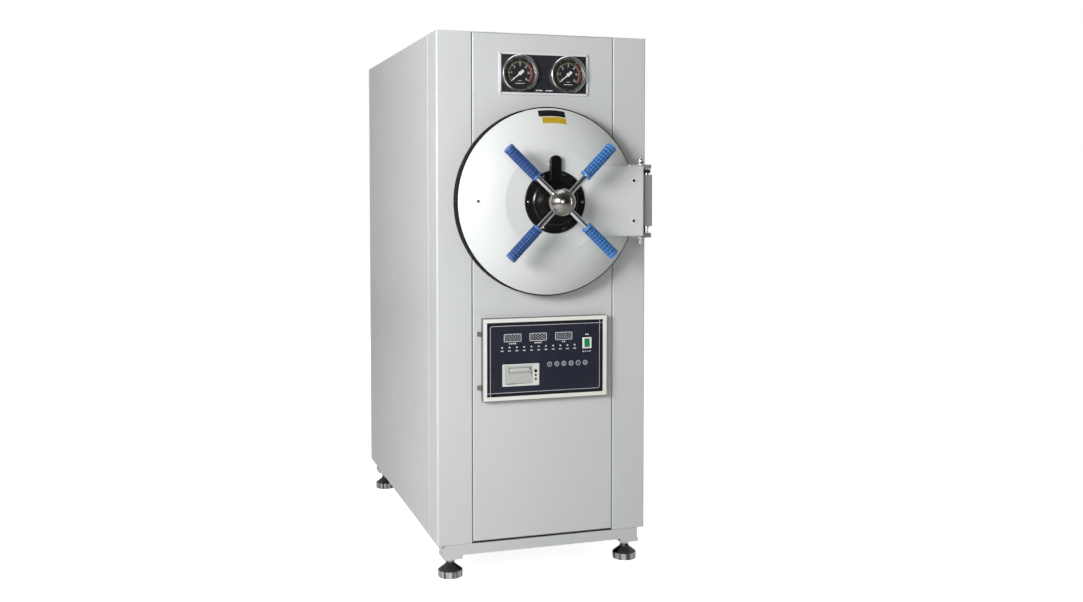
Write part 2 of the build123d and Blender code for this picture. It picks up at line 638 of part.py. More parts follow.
def cam_disc():
    """Disc with one spiral slot for each bar's pin and two holes for the interlock pin."""
    disc = rod_y(0, DOOR_Z, CAM_R, *CAM_Y) - rod_y(0, DOOR_Z, SPINDLE_R, CAM_Y[0] - 1, CAM_Y[1] + 1)
    for degrees in bar_angles():
        disc -= plate_y(spiral_slot(degrees), CAM_Y[0] - 1, CAM_Y[1] + 1)
    for degrees in (90, 90 + CAM_TURN):
        x, z = on_door(INTERLOCK_AT, degrees)
        disc -= rod_y(x, z, INTERLOCK_R + 0.2, CAM_Y[0] - 1, CAM_Y[1] + 1)
    return disc


def lock_bar(degrees):
    """Flat radial bar with a chamfered nose and a pin that rides in the cam disc."""
    half_w = BAR_WIDTH / 2
    bar = block(BAR_INNER_R, BAR_OUTER_R, *BAR_Y, -half_w, half_w)
    nose = bar.edges().group_by(Axis.X)[-1].filter_by(Axis.Z)
    bar = chamfer(nose, 2)
    bar += rod_y(BAR_PIN_AT, 0, BAR_PIN_R, CAM_Y[0] + 1, BAR_Y[0])
    return Pos(0, 0, DOOR_Z) * Rot(0, -degrees, 0) * bar


# ---------------------------------------------------------------- gauge panel

def gauge_frame():
    half, low, high = GAUGE_FRAME
    plate_half, plate_low, plate_high = GAUGE_PLATE
    frame = block(-half, half, -4, 0, low, high)
    frame = fillet(frame.edges().filter_by(Axis.Y), 7)
    frame = chamfer(frame.edges().group_by(Axis.Y)[0], 1)
    return frame - block(-plate_half, plate_half, -5, 1, plate_low, plate_high)


def gauge_panel():
    half, low, high = GAUGE_PLATE
    plate = block(-half, half, -2, 0, low, high)
    for x in (-GAUGE_X, GAUGE_X):
        plate -= rod_y(x, GAUGE_Z, 50.5, -3, 1)
    return plate


def gauge_case(x):
    """Round case with its bezel in front of the plate and the dial inside."""
    case = turned([(0, DIAL_Y), (48, DIAL_Y), (48, -11), (50, -14), (54, -14), (GAUGE_R, -12),
                   (GAUGE_R, -2), (50, -2), (50, 45), (0, 45)], x, GAUGE_Z)
    case -= rod_y(x, GAUGE_Z, 47.5, DIAL_Y + 2, 43)
    case -= rod_y(x, GAUGE_Z, 7, 42, 46)
    return case - rod_y(x, GAUGE_Z, 2.05, DIAL_Y - 1, DIAL_Y + 3)


def needle(x):
    """Pointer at zero, low on the left, with its counterweight, boss and arbor."""
    pointer = make_face(Polyline((-9, -1.6), (0, -2.2), (NEEDLE_LENGTH, -0.7), (NEEDLE_LENGTH + 2, 0),
                                 (NEEDLE_LENGTH, 0.7), (0, 2.2), (-9, 1.6), close=True))
    pointer += Pos(-9.5, 0) * Circle(5)
    blade = Pos(x, DIAL_Y - 2, GAUGE_Z) * Rot(0, -NEEDLE_ANGLE, 0) * Rot(90, 0, 0) * extrude(pointer, 0.8)
    return blade + rod_y(x, GAUGE_Z, 5.5, DIAL_Y - 4, DIAL_Y - 1.5) + rod_y(x, GAUGE_Z, 2, DIAL_Y - 2, 3)


# ---------------------------------------------------------------- control panel

def panel_frame():
    """Moulded surround with its side walls and four hinge eyes."""
    inner = PANEL_HALF_W - PANEL_BORDER
    frame = block(-PANEL_HALF_W, PANEL_HALF_W, PANEL_FRONT, PANEL_BACK, PANEL_BOTTOM, PANEL_TOP)
    frame = fillet(frame.edges().filter_by(Axis.Y), 2)
    frame = fillet(frame.edges().group_by(Axis.Y)[0], 1.8)
    frame -= block(-inner, inner, PANEL_FRONT - 1, PANEL_BACK + 1, PANEL_BOTTOM + PANEL_BORDER,
                   PANEL_TOP - PANEL_BORDER)
    for z in PANEL_HINGE_ZS:
        for z0, z1 in ((z - 7, z - 3.8), (z + 3.8, z + 7)):
            eye = rod_z(PANEL_HINGE_X, PANEL_HINGE_Y, PANEL_KNUCKLE_R, z0, z1)
            eye += block(PANEL_HINGE_X, -PANEL_HALF_W, PANEL_HINGE_Y - 2, PANEL_HINGE_Y + 2, z0, z1)
            frame += eye - rod_z(PANEL_HINGE_X, PANEL_HINGE_Y, PANEL_PIN_R + RUNNING_GAP, z0 - 1, z1 + 1)
    return frame


def panel_hinges():
    """Fixed halves of the two hinges: a leaf on the cabinet, a knuckle and its pin."""
    hinges = []
    for z in PANEL_HINGE_ZS:
        leaf = block(PANEL_HINGE_X - 8, PANEL_HINGE_X + 2, -2, 0, z - 7, z + 7)
        web = block(PANEL_HINGE_X - 2, PANEL_HINGE_X + 2, PANEL_HINGE_Y, -2, z - 3.5, z + 3.5)
        knuckle = rod_z(PANEL_HINGE_X, PANEL_HINGE_Y, PANEL_KNUCKLE_R, z - 3.5, z + 3.5)
        pin = rod_z(PANEL_HINGE_X, PANEL_HINGE_Y, PANEL_PIN_R, z - 8, z + 8)
        hinges.append(leaf + web + knuckle + pin)
    return Compound(hinges)


def led_positions():
    return [LED_X + PITCH * index for index in range(LED_COUNT)]


def button_positions():
    return [BUTTON_X + PITCH * index for index in range(BUTTON_COUNT)]


def panel_face():
    """Face plate with its display windows, lamp holes, button holes, switch and printer openings."""
    inner = PANEL_HALF_W - PANEL_BORDER
    face = block(-inner, inner, FACE_FRONT, FACE_BACK, PANEL_BOTTOM + PANEL_BORDER, PANEL_TOP - PANEL_BORDER)
    front = FACE_FRONT - 1
    back = FACE_BACK + 1
    for x in DISPLAY_XS:
        face -= block(x - DISPLAY_W / 2, x + DISPLAY_W / 2, front, back,
                      DISPLAY_Z - DISPLAY_H / 2, DISPLAY_Z + DISPLAY_H / 2)
    for x in led_positions():
        face -= rod_y(x, LED_Z, 2.8, front, back)
    for x in button_positions():
        face -= rod_y(x, BUTTON_Z, BUTTON_R + 0.3, front, back)
    face -= block(SWITCH_X - 12, SWITCH_X + 12, front, back, SWITCH_Z - 15, SWITCH_Z + 15)
    x0, x1 = PRINTER_X
    z0, z1 = PRINTER_Z
    return face - block(x0 + 4, x1 - 4, front, back, z0 + 4, z1 - 4)


def display_board():
    """Circuit board behind the face with the three display modules and the button contacts."""
    board = block(-158, 158, -14, -12.4, 657, 762)
    board += block(-18, 158, -14, -12.4, 627, 657)
    for x in DISPLAY_XS:
        board += block(x - DISPLAY_W / 2 + 0.5, x + DISPLAY_W / 2 - 0.5, -18, -14,
                       DISPLAY_Z - DISPLAY_H / 2 + 0.5, DISPLAY_Z + DISPLAY_H / 2 - 0.5)
    board += block(-100, 60, -12.4, -6, 672, 702)
    return board - block(SWITCH_X - 16, SWITCH_X + 16, -15, -11, SWITCH_Z - 18, SWITCH_Z + 18)


def button(x):
    """Round key with a retaining flange behind the face."""
    cap = turned([(0, -21), (BUTTON_R - 1, -21), (BUTTON_R, -20), (BUTTON_R, -15.9), (9, -15.9),
                  (9, -15.2), (0, -15.2)], x, BUTTON_Z)
    return cap


def switch_body():
    """Bezel and housing of the power switch."""
    bezel = block(SWITCH_X - 14.6, SWITCH_X + 14.6, -22, FACE_FRONT, SWITCH_Z - 17.1, SWITCH_Z + 17.1)
    bezel = chamfer(bezel.edges().group_by(Axis.Y)[0], 1)
    housing = block(SWITCH_X - 11.5, SWITCH_X + 11.5, FACE_FRONT, 10, SWITCH_Z - 14.5, SWITCH_Z + 14.5)
    pocket = block(SWITCH_X - 9.3, SWITCH_X + 9.3, -23, 2, SWITCH_Z - 13.3, SWITCH_Z + 13.3)
    return bezel + housing - pocket


def switch_rocker():
    """Rocker with two flats that meet in a shallow ridge, its upper half pressed in."""
    pivot_y = -12
    rocker = rod_x(pivot_y, SWITCH_Z, 12.8, SWITCH_X - 9, SWITCH_X + 9)
    rocker -= block(SWITCH_X - 10, SWITCH_X + 10, pivot_y + 4, pivot_y + 20, SWITCH_Z - 15, SWITCH_Z + 15)
    for side in (-1, 1):
        cutter = block(-10, 10, -30, -9, -16, 16)
        rocker -= Pos(SWITCH_X, pivot_y, SWITCH_Z) * Rot(side * 8 - 8, 0, 0) * cutter
    return rocker


def printer_body():
    """Printer housing set in the face, open in front for the paper roll."""
    x0, x1 = PRINTER_X
    z0, z1 = PRINTER_Z
    housing = block(x0, x1, -22, FACE_FRONT, z0, z1)
    housing = fillet(housing.edges().filter_by(Axis.Y), 2.5)
    housing += block(x0 + 4.5, x1 - 4.5, FACE_FRONT, 34, z0 + 4.5, z1 - 4.5)
    pocket = block(x0 + 7, x1 - 21, -23, 31, z0 + 7, z1 - 5)
    return housing - pocket


def printer_cover():
    """Flap over the paper roll with the paper's slot near its top, hinged along its lower edge."""
    x0 = PRINTER_X[0] + 7.5
    x1 = PRINTER_X[1] - 21.5
    flap = block(x0, x1, -22.5, -20, PRINTER_Z[0] + 8, PRINTER_Z[1] - 5.5)
    flap = chamfer(flap.edges().group_by(Axis.Y)[0], 0.6)
    flap -= block(-118, -49, -24, -19, 619, 639)
    return flap


def control_box():
    """Sheet box behind the control opening, with its two terminal blocks."""
    box = block(-178, 178, 2, 150, 550, 780) - block(-176, 176, 1, 148, 552, 778)
    for x in (-90, 70):
        box += block(x - 40, x + 40, 120, 148, 600, 640)
    return box


# ---------------------------------------------------------------- services

def rear_fittings():
    """Threaded stubs with their lock nuts and the cable gland."""
    fittings = []
    for x, z in REAR_STUBS:
        stub = rod_y(x, z, REAR_STUB_R, CABINET_D - 30, REAR_STUB_BACK)
        nut = Pos(x, CABINET_D + 6, z) * Rot(90, 0, 0) * extrude(RegularPolygon(16, 6, major_radius=False), 6)
        fittings.append(stub + nut - rod_y(x, z, 7.5, CABINET_D - 31, REAR_STUB_BACK + 1))
    x, z = GLAND
    gland = rod_y(x, z, 9, CABINET_D - 14, CABINET_D + 4)
    gland += Pos(x, CABINET_D + 14, z) * Rot(90, 0, 0) * extrude(RegularPolygon(13, 6, major_radius=False), 14)
    fittings.append(gland - rod_y(x, z, 6, CABINET_D - 15, CABINET_D + 15))
    return Compound(fittings)


def steam_generator():
    """Upright boiler on four legs with its heater flange and outlet."""
    x, y = GENERATOR
    body = rod_z(x, y, GENERATOR_R, 150, 520)
    body = fillet(body.edges().filter_by(GeomType.CIRCLE), 24)
    water_space = rod_z(x, y, GENERATOR_R - 5, 155, 515)
    water_space = fillet(water_space.edges().filter_by(GeomType.CIRCLE), 19)
    for leg_x in (-70, 70):
        for leg_y in (y - 90, y + 90):
            body += block(x + leg_x - 12, x + leg_x + 12, leg_y - 12, leg_y + 12, BASE_RAIL_TOP, 200)
    body += rod_z(x, y, 40, 517, 540)
    body += rod_y(x, 260, 45, y - GENERATOR_R - 30, y)
    return body - water_space - rod_z(x, y, 9, 500, 541)


def pipework():
    """Steam pipe to the jacket, drain from the chamber to the rear and the feed pipe of the generator."""
    x, y = GENERATOR
    steam = rod_z(x, y, PORT_R, 540, PORT_BOTTOM)
    drain = pipe([(0, DRAIN_Y, PORT_BOTTOM), (0, DRAIN_Y, 480), (-180, DRAIN_Y, 480), (-180, DRAIN_Y, 190),
                  (-180, CABINET_D - 30, 190)], 8, 40)
    feed = pipe([(0, CABINET_D - 30, 190), (0, 1040, 190), (0, 1040, 330),
                 (0, y + GENERATOR_R + 0.2, 330)], 8, 30)
    return Compound([steam, drain, feed])


PARTS = {
    "cabinet_frame": cabinet_frame,
    "side_panel_left": lambda: mirrored_x(side_panel_right()),
    "side_panel_right": side_panel_right,
    "front_post_left": lambda: mirrored_x(front_post_right()),
    "front_post_right": front_post_right,
    "front_panels": front_panels,
    "rear_panel": rear_panel,
    "top_cover": top_cover,
    "hinge_bracket": hinge_bracket,
    "foot_front_left": lambda: foot(-FOOT_X, FOOT_YS[0]),
    "foot_front_right": lambda: foot(FOOT_X, FOOT_YS[0]),
    "foot_rear_left": lambda: foot(-FOOT_X, FOOT_YS[1]),
    "foot_rear_right": lambda: foot(FOOT_X, FOOT_YS[1]),
    "chamber_vessel": chamber_vessel,
    "chamber_flange": chamber_flange,
    "door_seal": door_seal,
    "insulation": insulation,
    "loading_rack": loading_rack,
    "door_body": door_body,
    "door_liner": door_liner,
    "door_cover": door_cover,
    "door_arm": door_arm,
    "hub_housing": hub_housing,
    "door_fasteners": door_fasteners,
    "hinge_pin": hinge_pin,
    "interlock_pin": interlock_pin,
    "wheel_ball": wheel_ball,
    "wheel_spokes": wheel_spokes,
    "wheel_grips": wheel_grips,
    "wheel_spindle": wheel_spindle,
    "cam_disc": cam_disc,
    "gauge_frame": gauge_frame,
    "gauge_panel": gauge_panel,
    "gauge_cases": lambda: Compound([gauge_case(-GAUGE_X), gauge_case(GAUGE_X)]),
    "needle_left": lambda: needle(-GAUGE_X),
    "needle_right": lambda: needle(GAUGE_X),
    "panel_frame": panel_frame,
    "panel_hinges": panel_hinges,
    "panel_face": panel_face,
    "display_board": display_board,
    "switch_body": switch_body,
    "switch_rocker": switch_rocker,
    "printer_body": printer_body,
    "printer_cover": printer_cover,
    "control_box": control_box,
    "rear_fittings": rear_fittings,
    "steam_generator": steam_generator,
    "pipework": pipework,
}
for number, angle in enumerate(bar_angles(), start=1):
    PARTS[f"lock_bar_{number}"] = lambda angle=angle: lock_bar(angle)
for number, position in enumerate(button_positions(), start=1):
    PARTS[f"button_{number}"] = lambda position=position: button(position)

os.makedirs("parts", exist_ok=True)
for name, make in PARTS.items():
    export_step(Pos(0, -CENTRE_Y, 0) * make(), f"parts/{name}.step")
print(len(PARTS), "sub-parts, centre at y =", CENTRE_Y)
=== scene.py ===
import json
import math

import bmesh
import bpy
from mathutils import Matrix, Vector
from mathutils.bvhtree import BVHTree


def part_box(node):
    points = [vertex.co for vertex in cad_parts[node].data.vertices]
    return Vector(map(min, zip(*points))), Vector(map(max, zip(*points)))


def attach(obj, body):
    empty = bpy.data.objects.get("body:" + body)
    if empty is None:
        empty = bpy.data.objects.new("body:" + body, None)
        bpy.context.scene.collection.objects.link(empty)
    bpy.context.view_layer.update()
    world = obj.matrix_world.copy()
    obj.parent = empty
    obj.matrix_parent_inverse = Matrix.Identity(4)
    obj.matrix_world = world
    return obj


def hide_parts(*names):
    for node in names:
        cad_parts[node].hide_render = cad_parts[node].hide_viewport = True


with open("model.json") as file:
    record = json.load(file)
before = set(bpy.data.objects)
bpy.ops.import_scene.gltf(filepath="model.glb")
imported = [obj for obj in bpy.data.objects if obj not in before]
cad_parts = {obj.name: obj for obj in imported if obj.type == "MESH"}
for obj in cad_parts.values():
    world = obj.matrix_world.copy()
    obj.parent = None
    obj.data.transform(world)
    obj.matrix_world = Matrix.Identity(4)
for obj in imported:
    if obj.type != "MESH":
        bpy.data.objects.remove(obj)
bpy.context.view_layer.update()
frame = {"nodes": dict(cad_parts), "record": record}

NODES = frame["nodes"]
MM = 0.001

# Places read from the frame
BALL_LOW, BALL_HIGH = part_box("wheel_ball")
AXIS_Z = (BALL_LOW.z + BALL_HIGH.z) / 2
BALL_Y = BALL_LOW.y + (BALL_HIGH.z - BALL_LOW.z) / 2
FRONT_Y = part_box("front_panels")[0].y
COVER_FRONT_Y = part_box("door_cover")[0].y
HUB_LOW, HUB_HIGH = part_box("hub_housing")
FACE_LOW, FACE_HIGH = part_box("panel_face")
PLATE_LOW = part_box("gauge_panel")[0]
GAUGES_LOW, GAUGES_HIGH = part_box("gauge_cases")
GAUGE_R = (GAUGES_HIGH.z - GAUGES_LOW.z) / 2
GAUGE_Z = (GAUGES_LOW.z + GAUGES_HIGH.z) / 2
GAUGE_X = GAUGES_HIGH.x - GAUGE_R
DIAL_Y = FRONT_Y - 4.2 * MM

# Sizes of the handwheel's grips, about its axis
SPOKE_ANGLES = (46.2, 136.2, 226.2, 316.2)
GRIP_START = 105 * MM
GRIP_END = 227 * MM

# Screws and clips on the hub, about the same axis
HUB_SCREW_R = 84 * MM
HUB_SCREW_ANGLES = (0, 72, 116, 180, 244, 288)
HUB_CLIP_ANGLES = (72, 288)

# Screws on the cover: places from the door's axis
COVER_SCREWS = ((252.5, 63.5), (252.5, -58.8), (-228, 2))

# Control panel
DISPLAY_XS = (-105.4 * MM, -24.3 * MM, 58.1 * MM)
DISPLAY_Z = FACE_LOW.z + 177.5 * MM
LAMP_X = -138.3 * MM
LAMP_Z = FACE_LOW.z + 148.5 * MM
LAMP_PITCH = 23.2 * MM
LAMP_COUNT = 11
SLOT_X = (-117.4 * MM, -49.6 * MM)
SLOT_Z = (619.4 * MM, 638.6 * MM)

# Base
RAIL_END_X = 312 * MM
RAIL_YS = {"front": FRONT_Y + 4 * MM, "rear": FRONT_Y + 1132 * MM}

# Camera, fitted to the cabinet's corners and seams
CAMERA_PLACE = (-1.0871, FRONT_Y - 3.3269, 1.1795)
CAMERA_DOWN = 2.34
CAMERA_YAW = -17.98
CAMERA_LENS = 38.061
CAMERA_SHIFT = -0.06


# ------------------------------------------------------------------ materials

class Shader:
    """A material being built: short calls for the nodes that the materials below share."""

    def __init__(self, name, roughness=0.5, metallic=0.0):
        self.material = bpy.data.materials.new(name)
        self.material.use_nodes = True
        self.tree = self.material.node_tree
        self.surface = self.tree.nodes["Principled BSDF"]
        self.set("Roughness", roughness)
        self.set("Metallic", metallic)
        self.place = self.add("ShaderNodeTexCoord").outputs["Object"]

    def add(self, kind, **settings):
        node = self.tree.nodes.new(kind)
        for key, value in settings.items():
            setattr(node, key, value)
        return node

    def feed(self, socket, value):
        """A link from another node, or a plain value."""
        if isinstance(value, bpy.types.NodeSocket):
            self.tree.links.new(value, socket)
        else:
            socket.default_value = value

    def set(self, name, value):
        if isinstance(value, tuple) and len(value) == 3:
            value = (*value, 1.0)
        self.feed(self.surface.inputs[name], value)

    def stretched(self, scale):
        """The object's own coordinates, scaled along each axis."""
        node = self.add("ShaderNodeMapping")
        self.feed(node.inputs["Vector"], self.place)
        node.inputs["Scale"].default_value = scale
        return node.outputs["Vector"]

    def noise(self, scale, detail=3.0, rough=0.55, vector=None):
        node = self.add("ShaderNodeTexNoise")
        self.feed(node.inputs["Vector"], vector or self.place)
        node.inputs["Scale"].default_value = scale
        node.inputs["Detail"].default_value = detail
        node.inputs["Roughness"].default_value = rough
        return node.outputs["Fac"]

    def spread(self, value, low, high, start=0.3, end=0.7):
        """value, from start..end to low..high."""
        node = self.add("ShaderNodeMapRange")
        self.feed(node.inputs["Value"], value)
        node.inputs["From Min"].default_value = start
        node.inputs["From Max"].default_value = end
        node.inputs["To Min"].default_value = low
        node.inputs["To Max"].default_value = high
        return node.outputs["Result"]

    def math(self, operation, first, second=0.0):
        node = self.add("ShaderNodeMath", operation=operation)
        self.feed(node.inputs[0], first)
        self.feed(node.inputs[1], second)
        return node.outputs[0]

    def part(self, axis):
        """One coordinate of the object's own place."""
        node = self.add("ShaderNodeSeparateXYZ")
        self.feed(node.inputs[0], self.place)
        return node.outputs[axis]

    def blend(self, share, first, second):
        node = self.add("ShaderNodeMix", data_type="RGBA")
        self.feed(node.inputs[0], share)
        for socket, colour in ((node.inputs[6], first), (node.inputs[7], second)):
            self.feed(socket, (*colour, 1.0) if isinstance(colour, tuple) else colour)
        return node.outputs[2]

    def clouded(self, scale, detail, first, second):
        """Two shades mixed by a noise."""
        return self.blend(self.spread(self.noise(scale, detail), 0.0, 1.0), first, second)

    def bump(self, height, depth):
        node = self.add("ShaderNodeBump")
        node.inputs["Distance"].default_value = depth
        self.feed(node.inputs["Height"], height)
        self.feed(self.surface.inputs["Normal"], node.outputs["Normal"])


def painted(name, light, dark, roughness=0.38, coat=0.25, peel=0.00006):
    """Paint or powder coat: faint cloudiness, uneven gloss and a fine orange peel."""
    s = Shader(name)
    cloud = s.noise(2.3, 2.0)
    s.set("Base Color", s.blend(s.spread(cloud, 0.0, 1.0), light, dark))
    s.set("Roughness", s.spread(s.noise(23.0, 4.0), roughness - 0.05, roughness + 0.06))
    s.set("Coat Weight", coat)
    s.set("Coat Roughness", 0.18)
    s.bump(s.noise(650.0, 2.0), peel)
    return s.material


def brushed(name, colour, grain, roughness=0.28, depth=0.00003):
    """Brushed metal: grain is how far the marks are squeezed along each axis."""
    s = Shader(name, metallic=1.0)
    marks = s.noise(9.0, 5.0, 0.7, s.stretched(grain))
    patch = s.noise(14.0, 2.0)
    darker = tuple(0.72 * c for c in colour)
    s.set("Base Color", s.blend(s.spread(marks, 0.0, 1.0), colour, darker))
    s.set("Roughness", s.spread(patch, roughness - 0.06, roughness + 0.09))
    s.bump(marks, depth)
    return s.material


def chromed(name, colour=(0.78, 0.78, 0.79), roughness=0.07, uneven=1.0):
    """Polished plating with a faint film of finger marks."""
    s = Shader(name, metallic=1.0)
    film = s.noise(55.0, 5.0, 0.65)
    s.set("Base Color", s.blend(s.spread(film, 0.0, 0.35), colour, (0.55, 0.55, 0.57)))
    s.set("Roughness", s.spread(film, roughness * (1 - 0.4 * uneven), roughness * (1 + 1.2 * uneven)))
    return s.material


def moulded(name, light, dark, roughness=0.42, grain=900.0, depth=0.00004):
    """Moulded plastic with a fine spark-eroded grain."""
    s = Shader(name)
    s.set("Base Color", s.clouded(16.0, 3.0, light, dark))
    s.set("Roughness", s.spread(s.noise(60.0, 3.0), roughness - 0.06, roughness + 0.07))
    s.bump(s.noise(grain, 2.0), depth)
    return s.material


def black_enamel():
    s = Shader("black_enamel")
    cloud = s.noise(9.0, 3.0)
    s.set("Base Color", s.blend(s.spread(cloud, 0.0, 1.0), (0.003, 0.003, 0.003), (0.007, 0.006, 0.006)))
    s.set("Roughness", s.spread(s.noise(40.0, 3.0), 0.20, 0.30))
    s.set("Specular IOR Level", 0.35)
    s.bump(s.noise(420.0, 2.0), 0.00003)
    return s.material


def rim_black():
    """Dull black rubber-like paint of the door's rim."""
    s = Shader("rim_black")
    s.set("Base Color", s.clouded(12.0, 3.0, (0.005, 0.005, 0.006), (0.010, 0.010, 0.011)))
    s.set("Roughness", s.spread(s.noise(60.0, 3.0), 0.60, 0.72))
    s.set("Specular IOR Level", 0.08)
    s.bump(s.noise(800.0, 2.0), 0.00004)
    return s.material


def arm_paint_and_reflection():
    """The hinge arm: cover enamel on its inner part; its lugs get a dark grey that is a painted reflection.
    """
    s = Shader("arm_paint_and_reflection")
    # Lugs beyond x = 0.288 m: a dark grey painted as the reflection they show, beside the enamel of the
    # inner part.
    lug = s.math("GREATER_THAN", s.part("X"), 0.288)
    cloud = s.spread(s.noise(6.0, 3.0), 0.0, 1.0)
    enamel = s.blend(cloud, (0.700, 0.715, 0.705), (0.670, 0.690, 0.680))
    grey = s.blend(cloud, (0.300, 0.310, 0.315), (0.255, 0.265, 0.270))
    s.set("Base Color", s.blend(lug, enamel, grey))
    s.set("Roughness", s.spread(s.noise(30.0, 3.0), 0.26, 0.38))
    s.bump(s.noise(600.0, 2.0), 0.00004)
    return s.material


def foot_steel():
    """Levelling foot: polished pad with bright and dark vertical streaks painted in as its reflections,
    dark cone, light nut and stud above them.
    """
    s = Shader("foot_steel", metallic=1.0)
    height = s.part("Z")
    marks = s.noise(9.0, 5.0, 0.7, s.stretched((1.0, 1.0, 30.0)))
    # Vertical streaks on the pad: painted reflections, from nearly black to nearly white.
    painted_reflection_streaks = s.noise(95.0, 2.0, 0.5, s.stretched((1.0, 1.0, 0.02)))
    pad = s.blend(s.spread(painted_reflection_streaks, 0.0, 1.0, 0.44, 0.60), (0.16, 0.155, 0.15), (0.95, 0.95, 0.94))
    cone = s.blend(s.spread(marks, 0.0, 1.0), (0.20, 0.195, 0.19), (0.13, 0.125, 0.12))
    neck = s.blend(s.spread(marks, 0.0, 1.0), (0.72, 0.72, 0.70), (0.62, 0.62, 0.60))
    lower = s.blend(s.math("GREATER_THAN", height, 0.0212), pad, cone)
    s.set("Base Color", s.blend(s.math("GREATER_THAN", height, 0.0455), lower, neck))
    s.set("Roughness", s.spread(marks, 0.14, 0.24))
    s.bump(marks, 0.00001)
    return s.material


def ball_steel():
    """Turned and polished stainless ball with warm, uneven reflections."""
    s = Shader("ball_steel", metallic=1.0)
    turning = s.noise(7.0, 4.0, 0.6, s.stretched((2.0, 30.0, 2.0)))
    cloud = s.noise(26.0, 4.0)
    s.set("Base Color", s.blend(s.spread(cloud, 0.0, 1.0), (0.52, 0.50, 0.46), (0.27, 0.25, 0.22)))
    s.set("Roughness", s.spread(turning, 0.12, 0.24))
    s.bump(turning, 0.00002)
    return s.material


def grip_blue():
    """Dull blue plastic: the left grips darker and more violet and the right grips lighter, which is
    painted light and shade, and painted shade in the moulded grooves.
    """
    s = Shader("grip_blue")
    # Painted light and shade: grips on the left get the darker violet, grips on the right the lighter blue.
    across = s.spread(s.part("X"), 0.0, 1.0, -0.12, 0.12)
    worn = s.spread(s.noise(90.0, 4.0), 0.0, 0.5)
    violet = s.blend(worn, (0.031, 0.088, 0.280), (0.046, 0.116, 0.345))
    body = s.blend(across, violet, (0.052, 0.215, 0.520))
    # Painted shade: the marked groove vertices are coloured nearly black-blue.
    groove = s.add("ShaderNodeAttribute", attribute_name="groove").outputs["Fac"]
    s.set("Base Color", s.blend(groove, body, (0.005, 0.014, 0.080)))
    s.set("Roughness", s.spread(s.noise(200.0, 3.0), 0.34, 0.50))
    s.bump(s.noise(1300.0, 2.0), 0.00004)
    return s.material


def panel_navy():
    """Printed overlay: navy inside the line, black in the margin outside it."""
    s = Shader("panel_navy")
    centre_x = (FACE_LOW.x + FACE_HIGH.x) / 2
    centre_z = (FACE_LOW.z + FACE_HIGH.z) / 2
    half_x = (FACE_HIGH.x - FACE_LOW.x) / 2 - 11 * MM
    half_z = (FACE_HIGH.z - FACE_LOW.z) / 2 - 11 * MM
    out_x = s.math("GREATER_THAN", s.math("ABSOLUTE", s.math("SUBTRACT", s.part("X"), centre_x)), half_x)
    out_z = s.math("GREATER_THAN", s.math("ABSOLUTE", s.math("SUBTRACT", s.part("Z"), centre_z)), half_z)
    margin = s.math("MAXIMUM", out_x, out_z)
    navy = s.clouded(12.0, 3.0, (0.010, 0.013, 0.024), (0.016, 0.019, 0.031))
    s.set("Base Color", s.blend(margin, navy, (0.006, 0.006, 0.008)))
    s.set("Roughness", s.spread(s.noise(80.0, 3.0), 0.36, 0.48))
    s.set("Specular IOR Level", 0.30)
    s.bump(s.noise(1500.0, 2.0), 0.00002)
    return s.material


def frame_profile():
    """The control panel's frame: ivory enamel on its face; its outer sides and outermost 1.5 mm are painted
    shade in dark grey.
    """
    s = Shader("frame_profile")
    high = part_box("panel_frame")[1]
    painted_shade_sides = []
    for axis, index in (("X", 0), ("Z", 2)):
        centre = (FACE_LOW[index] + FACE_HIGH[index]) / 2
        half = high[index] - centre - 1.5 * MM
        away = s.math("ABSOLUTE", s.math("SUBTRACT", s.part(axis), centre))
        painted_shade_sides.append(s.math("GREATER_THAN", away, half))
    # Outer sides and outermost edge: painted shade, a dark grey where the frame's sides lie in shadow.
    side = s.math("MAXIMUM", painted_shade_sides[0], painted_shade_sides[1])
    ivory = s.clouded(16.0, 3.0, (0.730, 0.730, 0.685), (0.700, 0.700, 0.655))
    s.set("Base Color", s.blend(side, ivory, (0.135, 0.135, 0.130)))
    s.set("Roughness", s.spread(s.noise(60.0, 3.0), 0.30, 0.43))
    s.bump(s.noise(900.0, 2.0), 0.00004)
    return s.material


def rocker_green():
    """Translucent green moulding, with brighter patches painted in for the glow of the lamp behind it."""
    s = Shader("rocker_green", roughness=0.22)
    painted_glow = s.noise(120.0, 2.0)
    s.set("Base Color", s.blend(s.spread(painted_glow, 0.0, 1.0), (0.005, 0.16, 0.045), (0.010, 0.30, 0.085)))
    s.set("Roughness", s.spread(s.noise(300.0, 2.0), 0.18, 0.30))
    s.set("Coat Weight", 0.4)
    return s.material


def clear_glass():
    s = Shader("gauge_glass", roughness=0.03)
    s.set("Base Color", s.clouded(30.0, 2.0, (0.010, 0.012, 0.012), (0.018, 0.020, 0.020)))
    s.set("Roughness", s.spread(s.noise(90.0, 3.0), 0.02, 0.06))
    s.set("Alpha", 0.05)
    s.material.surface_render_method = "BLENDED"
    return s.material


def printed(name, colour, roughness=0.5):
    """Screen-printed ink with slightly uneven density."""
    s = Shader(name, roughness=roughness)
    darker = tuple(0.86 * c for c in colour)
    s.set("Base Color", s.clouded(260.0, 3.0, colour, darker))
    s.set("Roughness", s.spread(s.noise(400.0, 2.0), roughness - 0.07, roughness + 0.07))
    return s.material


def lamp_lens():
    s = Shader("lamp_lens", roughness=0.25)
    s.set("Base Color", s.clouded(300.0, 2.0, (0.62, 0.62, 0.60), (0.74, 0.74, 0.72)))
    s.set("Subsurface Weight", 0.15)
    s.set("Coat Weight", 0.5)
    return s.material


def display_window():
    """Smoked plastic of the display windows."""
    s = Shader("display_window", roughness=0.2)
    s.set("Base Color", s.clouded(70.0, 2.0, (0.020, 0.021, 0.026), (0.034, 0.035, 0.042)))
    s.set("Roughness", s.spread(s.noise(150.0, 2.0), 0.14, 0.24))
    s.set("Coat Weight", 0.5)
    return s.material


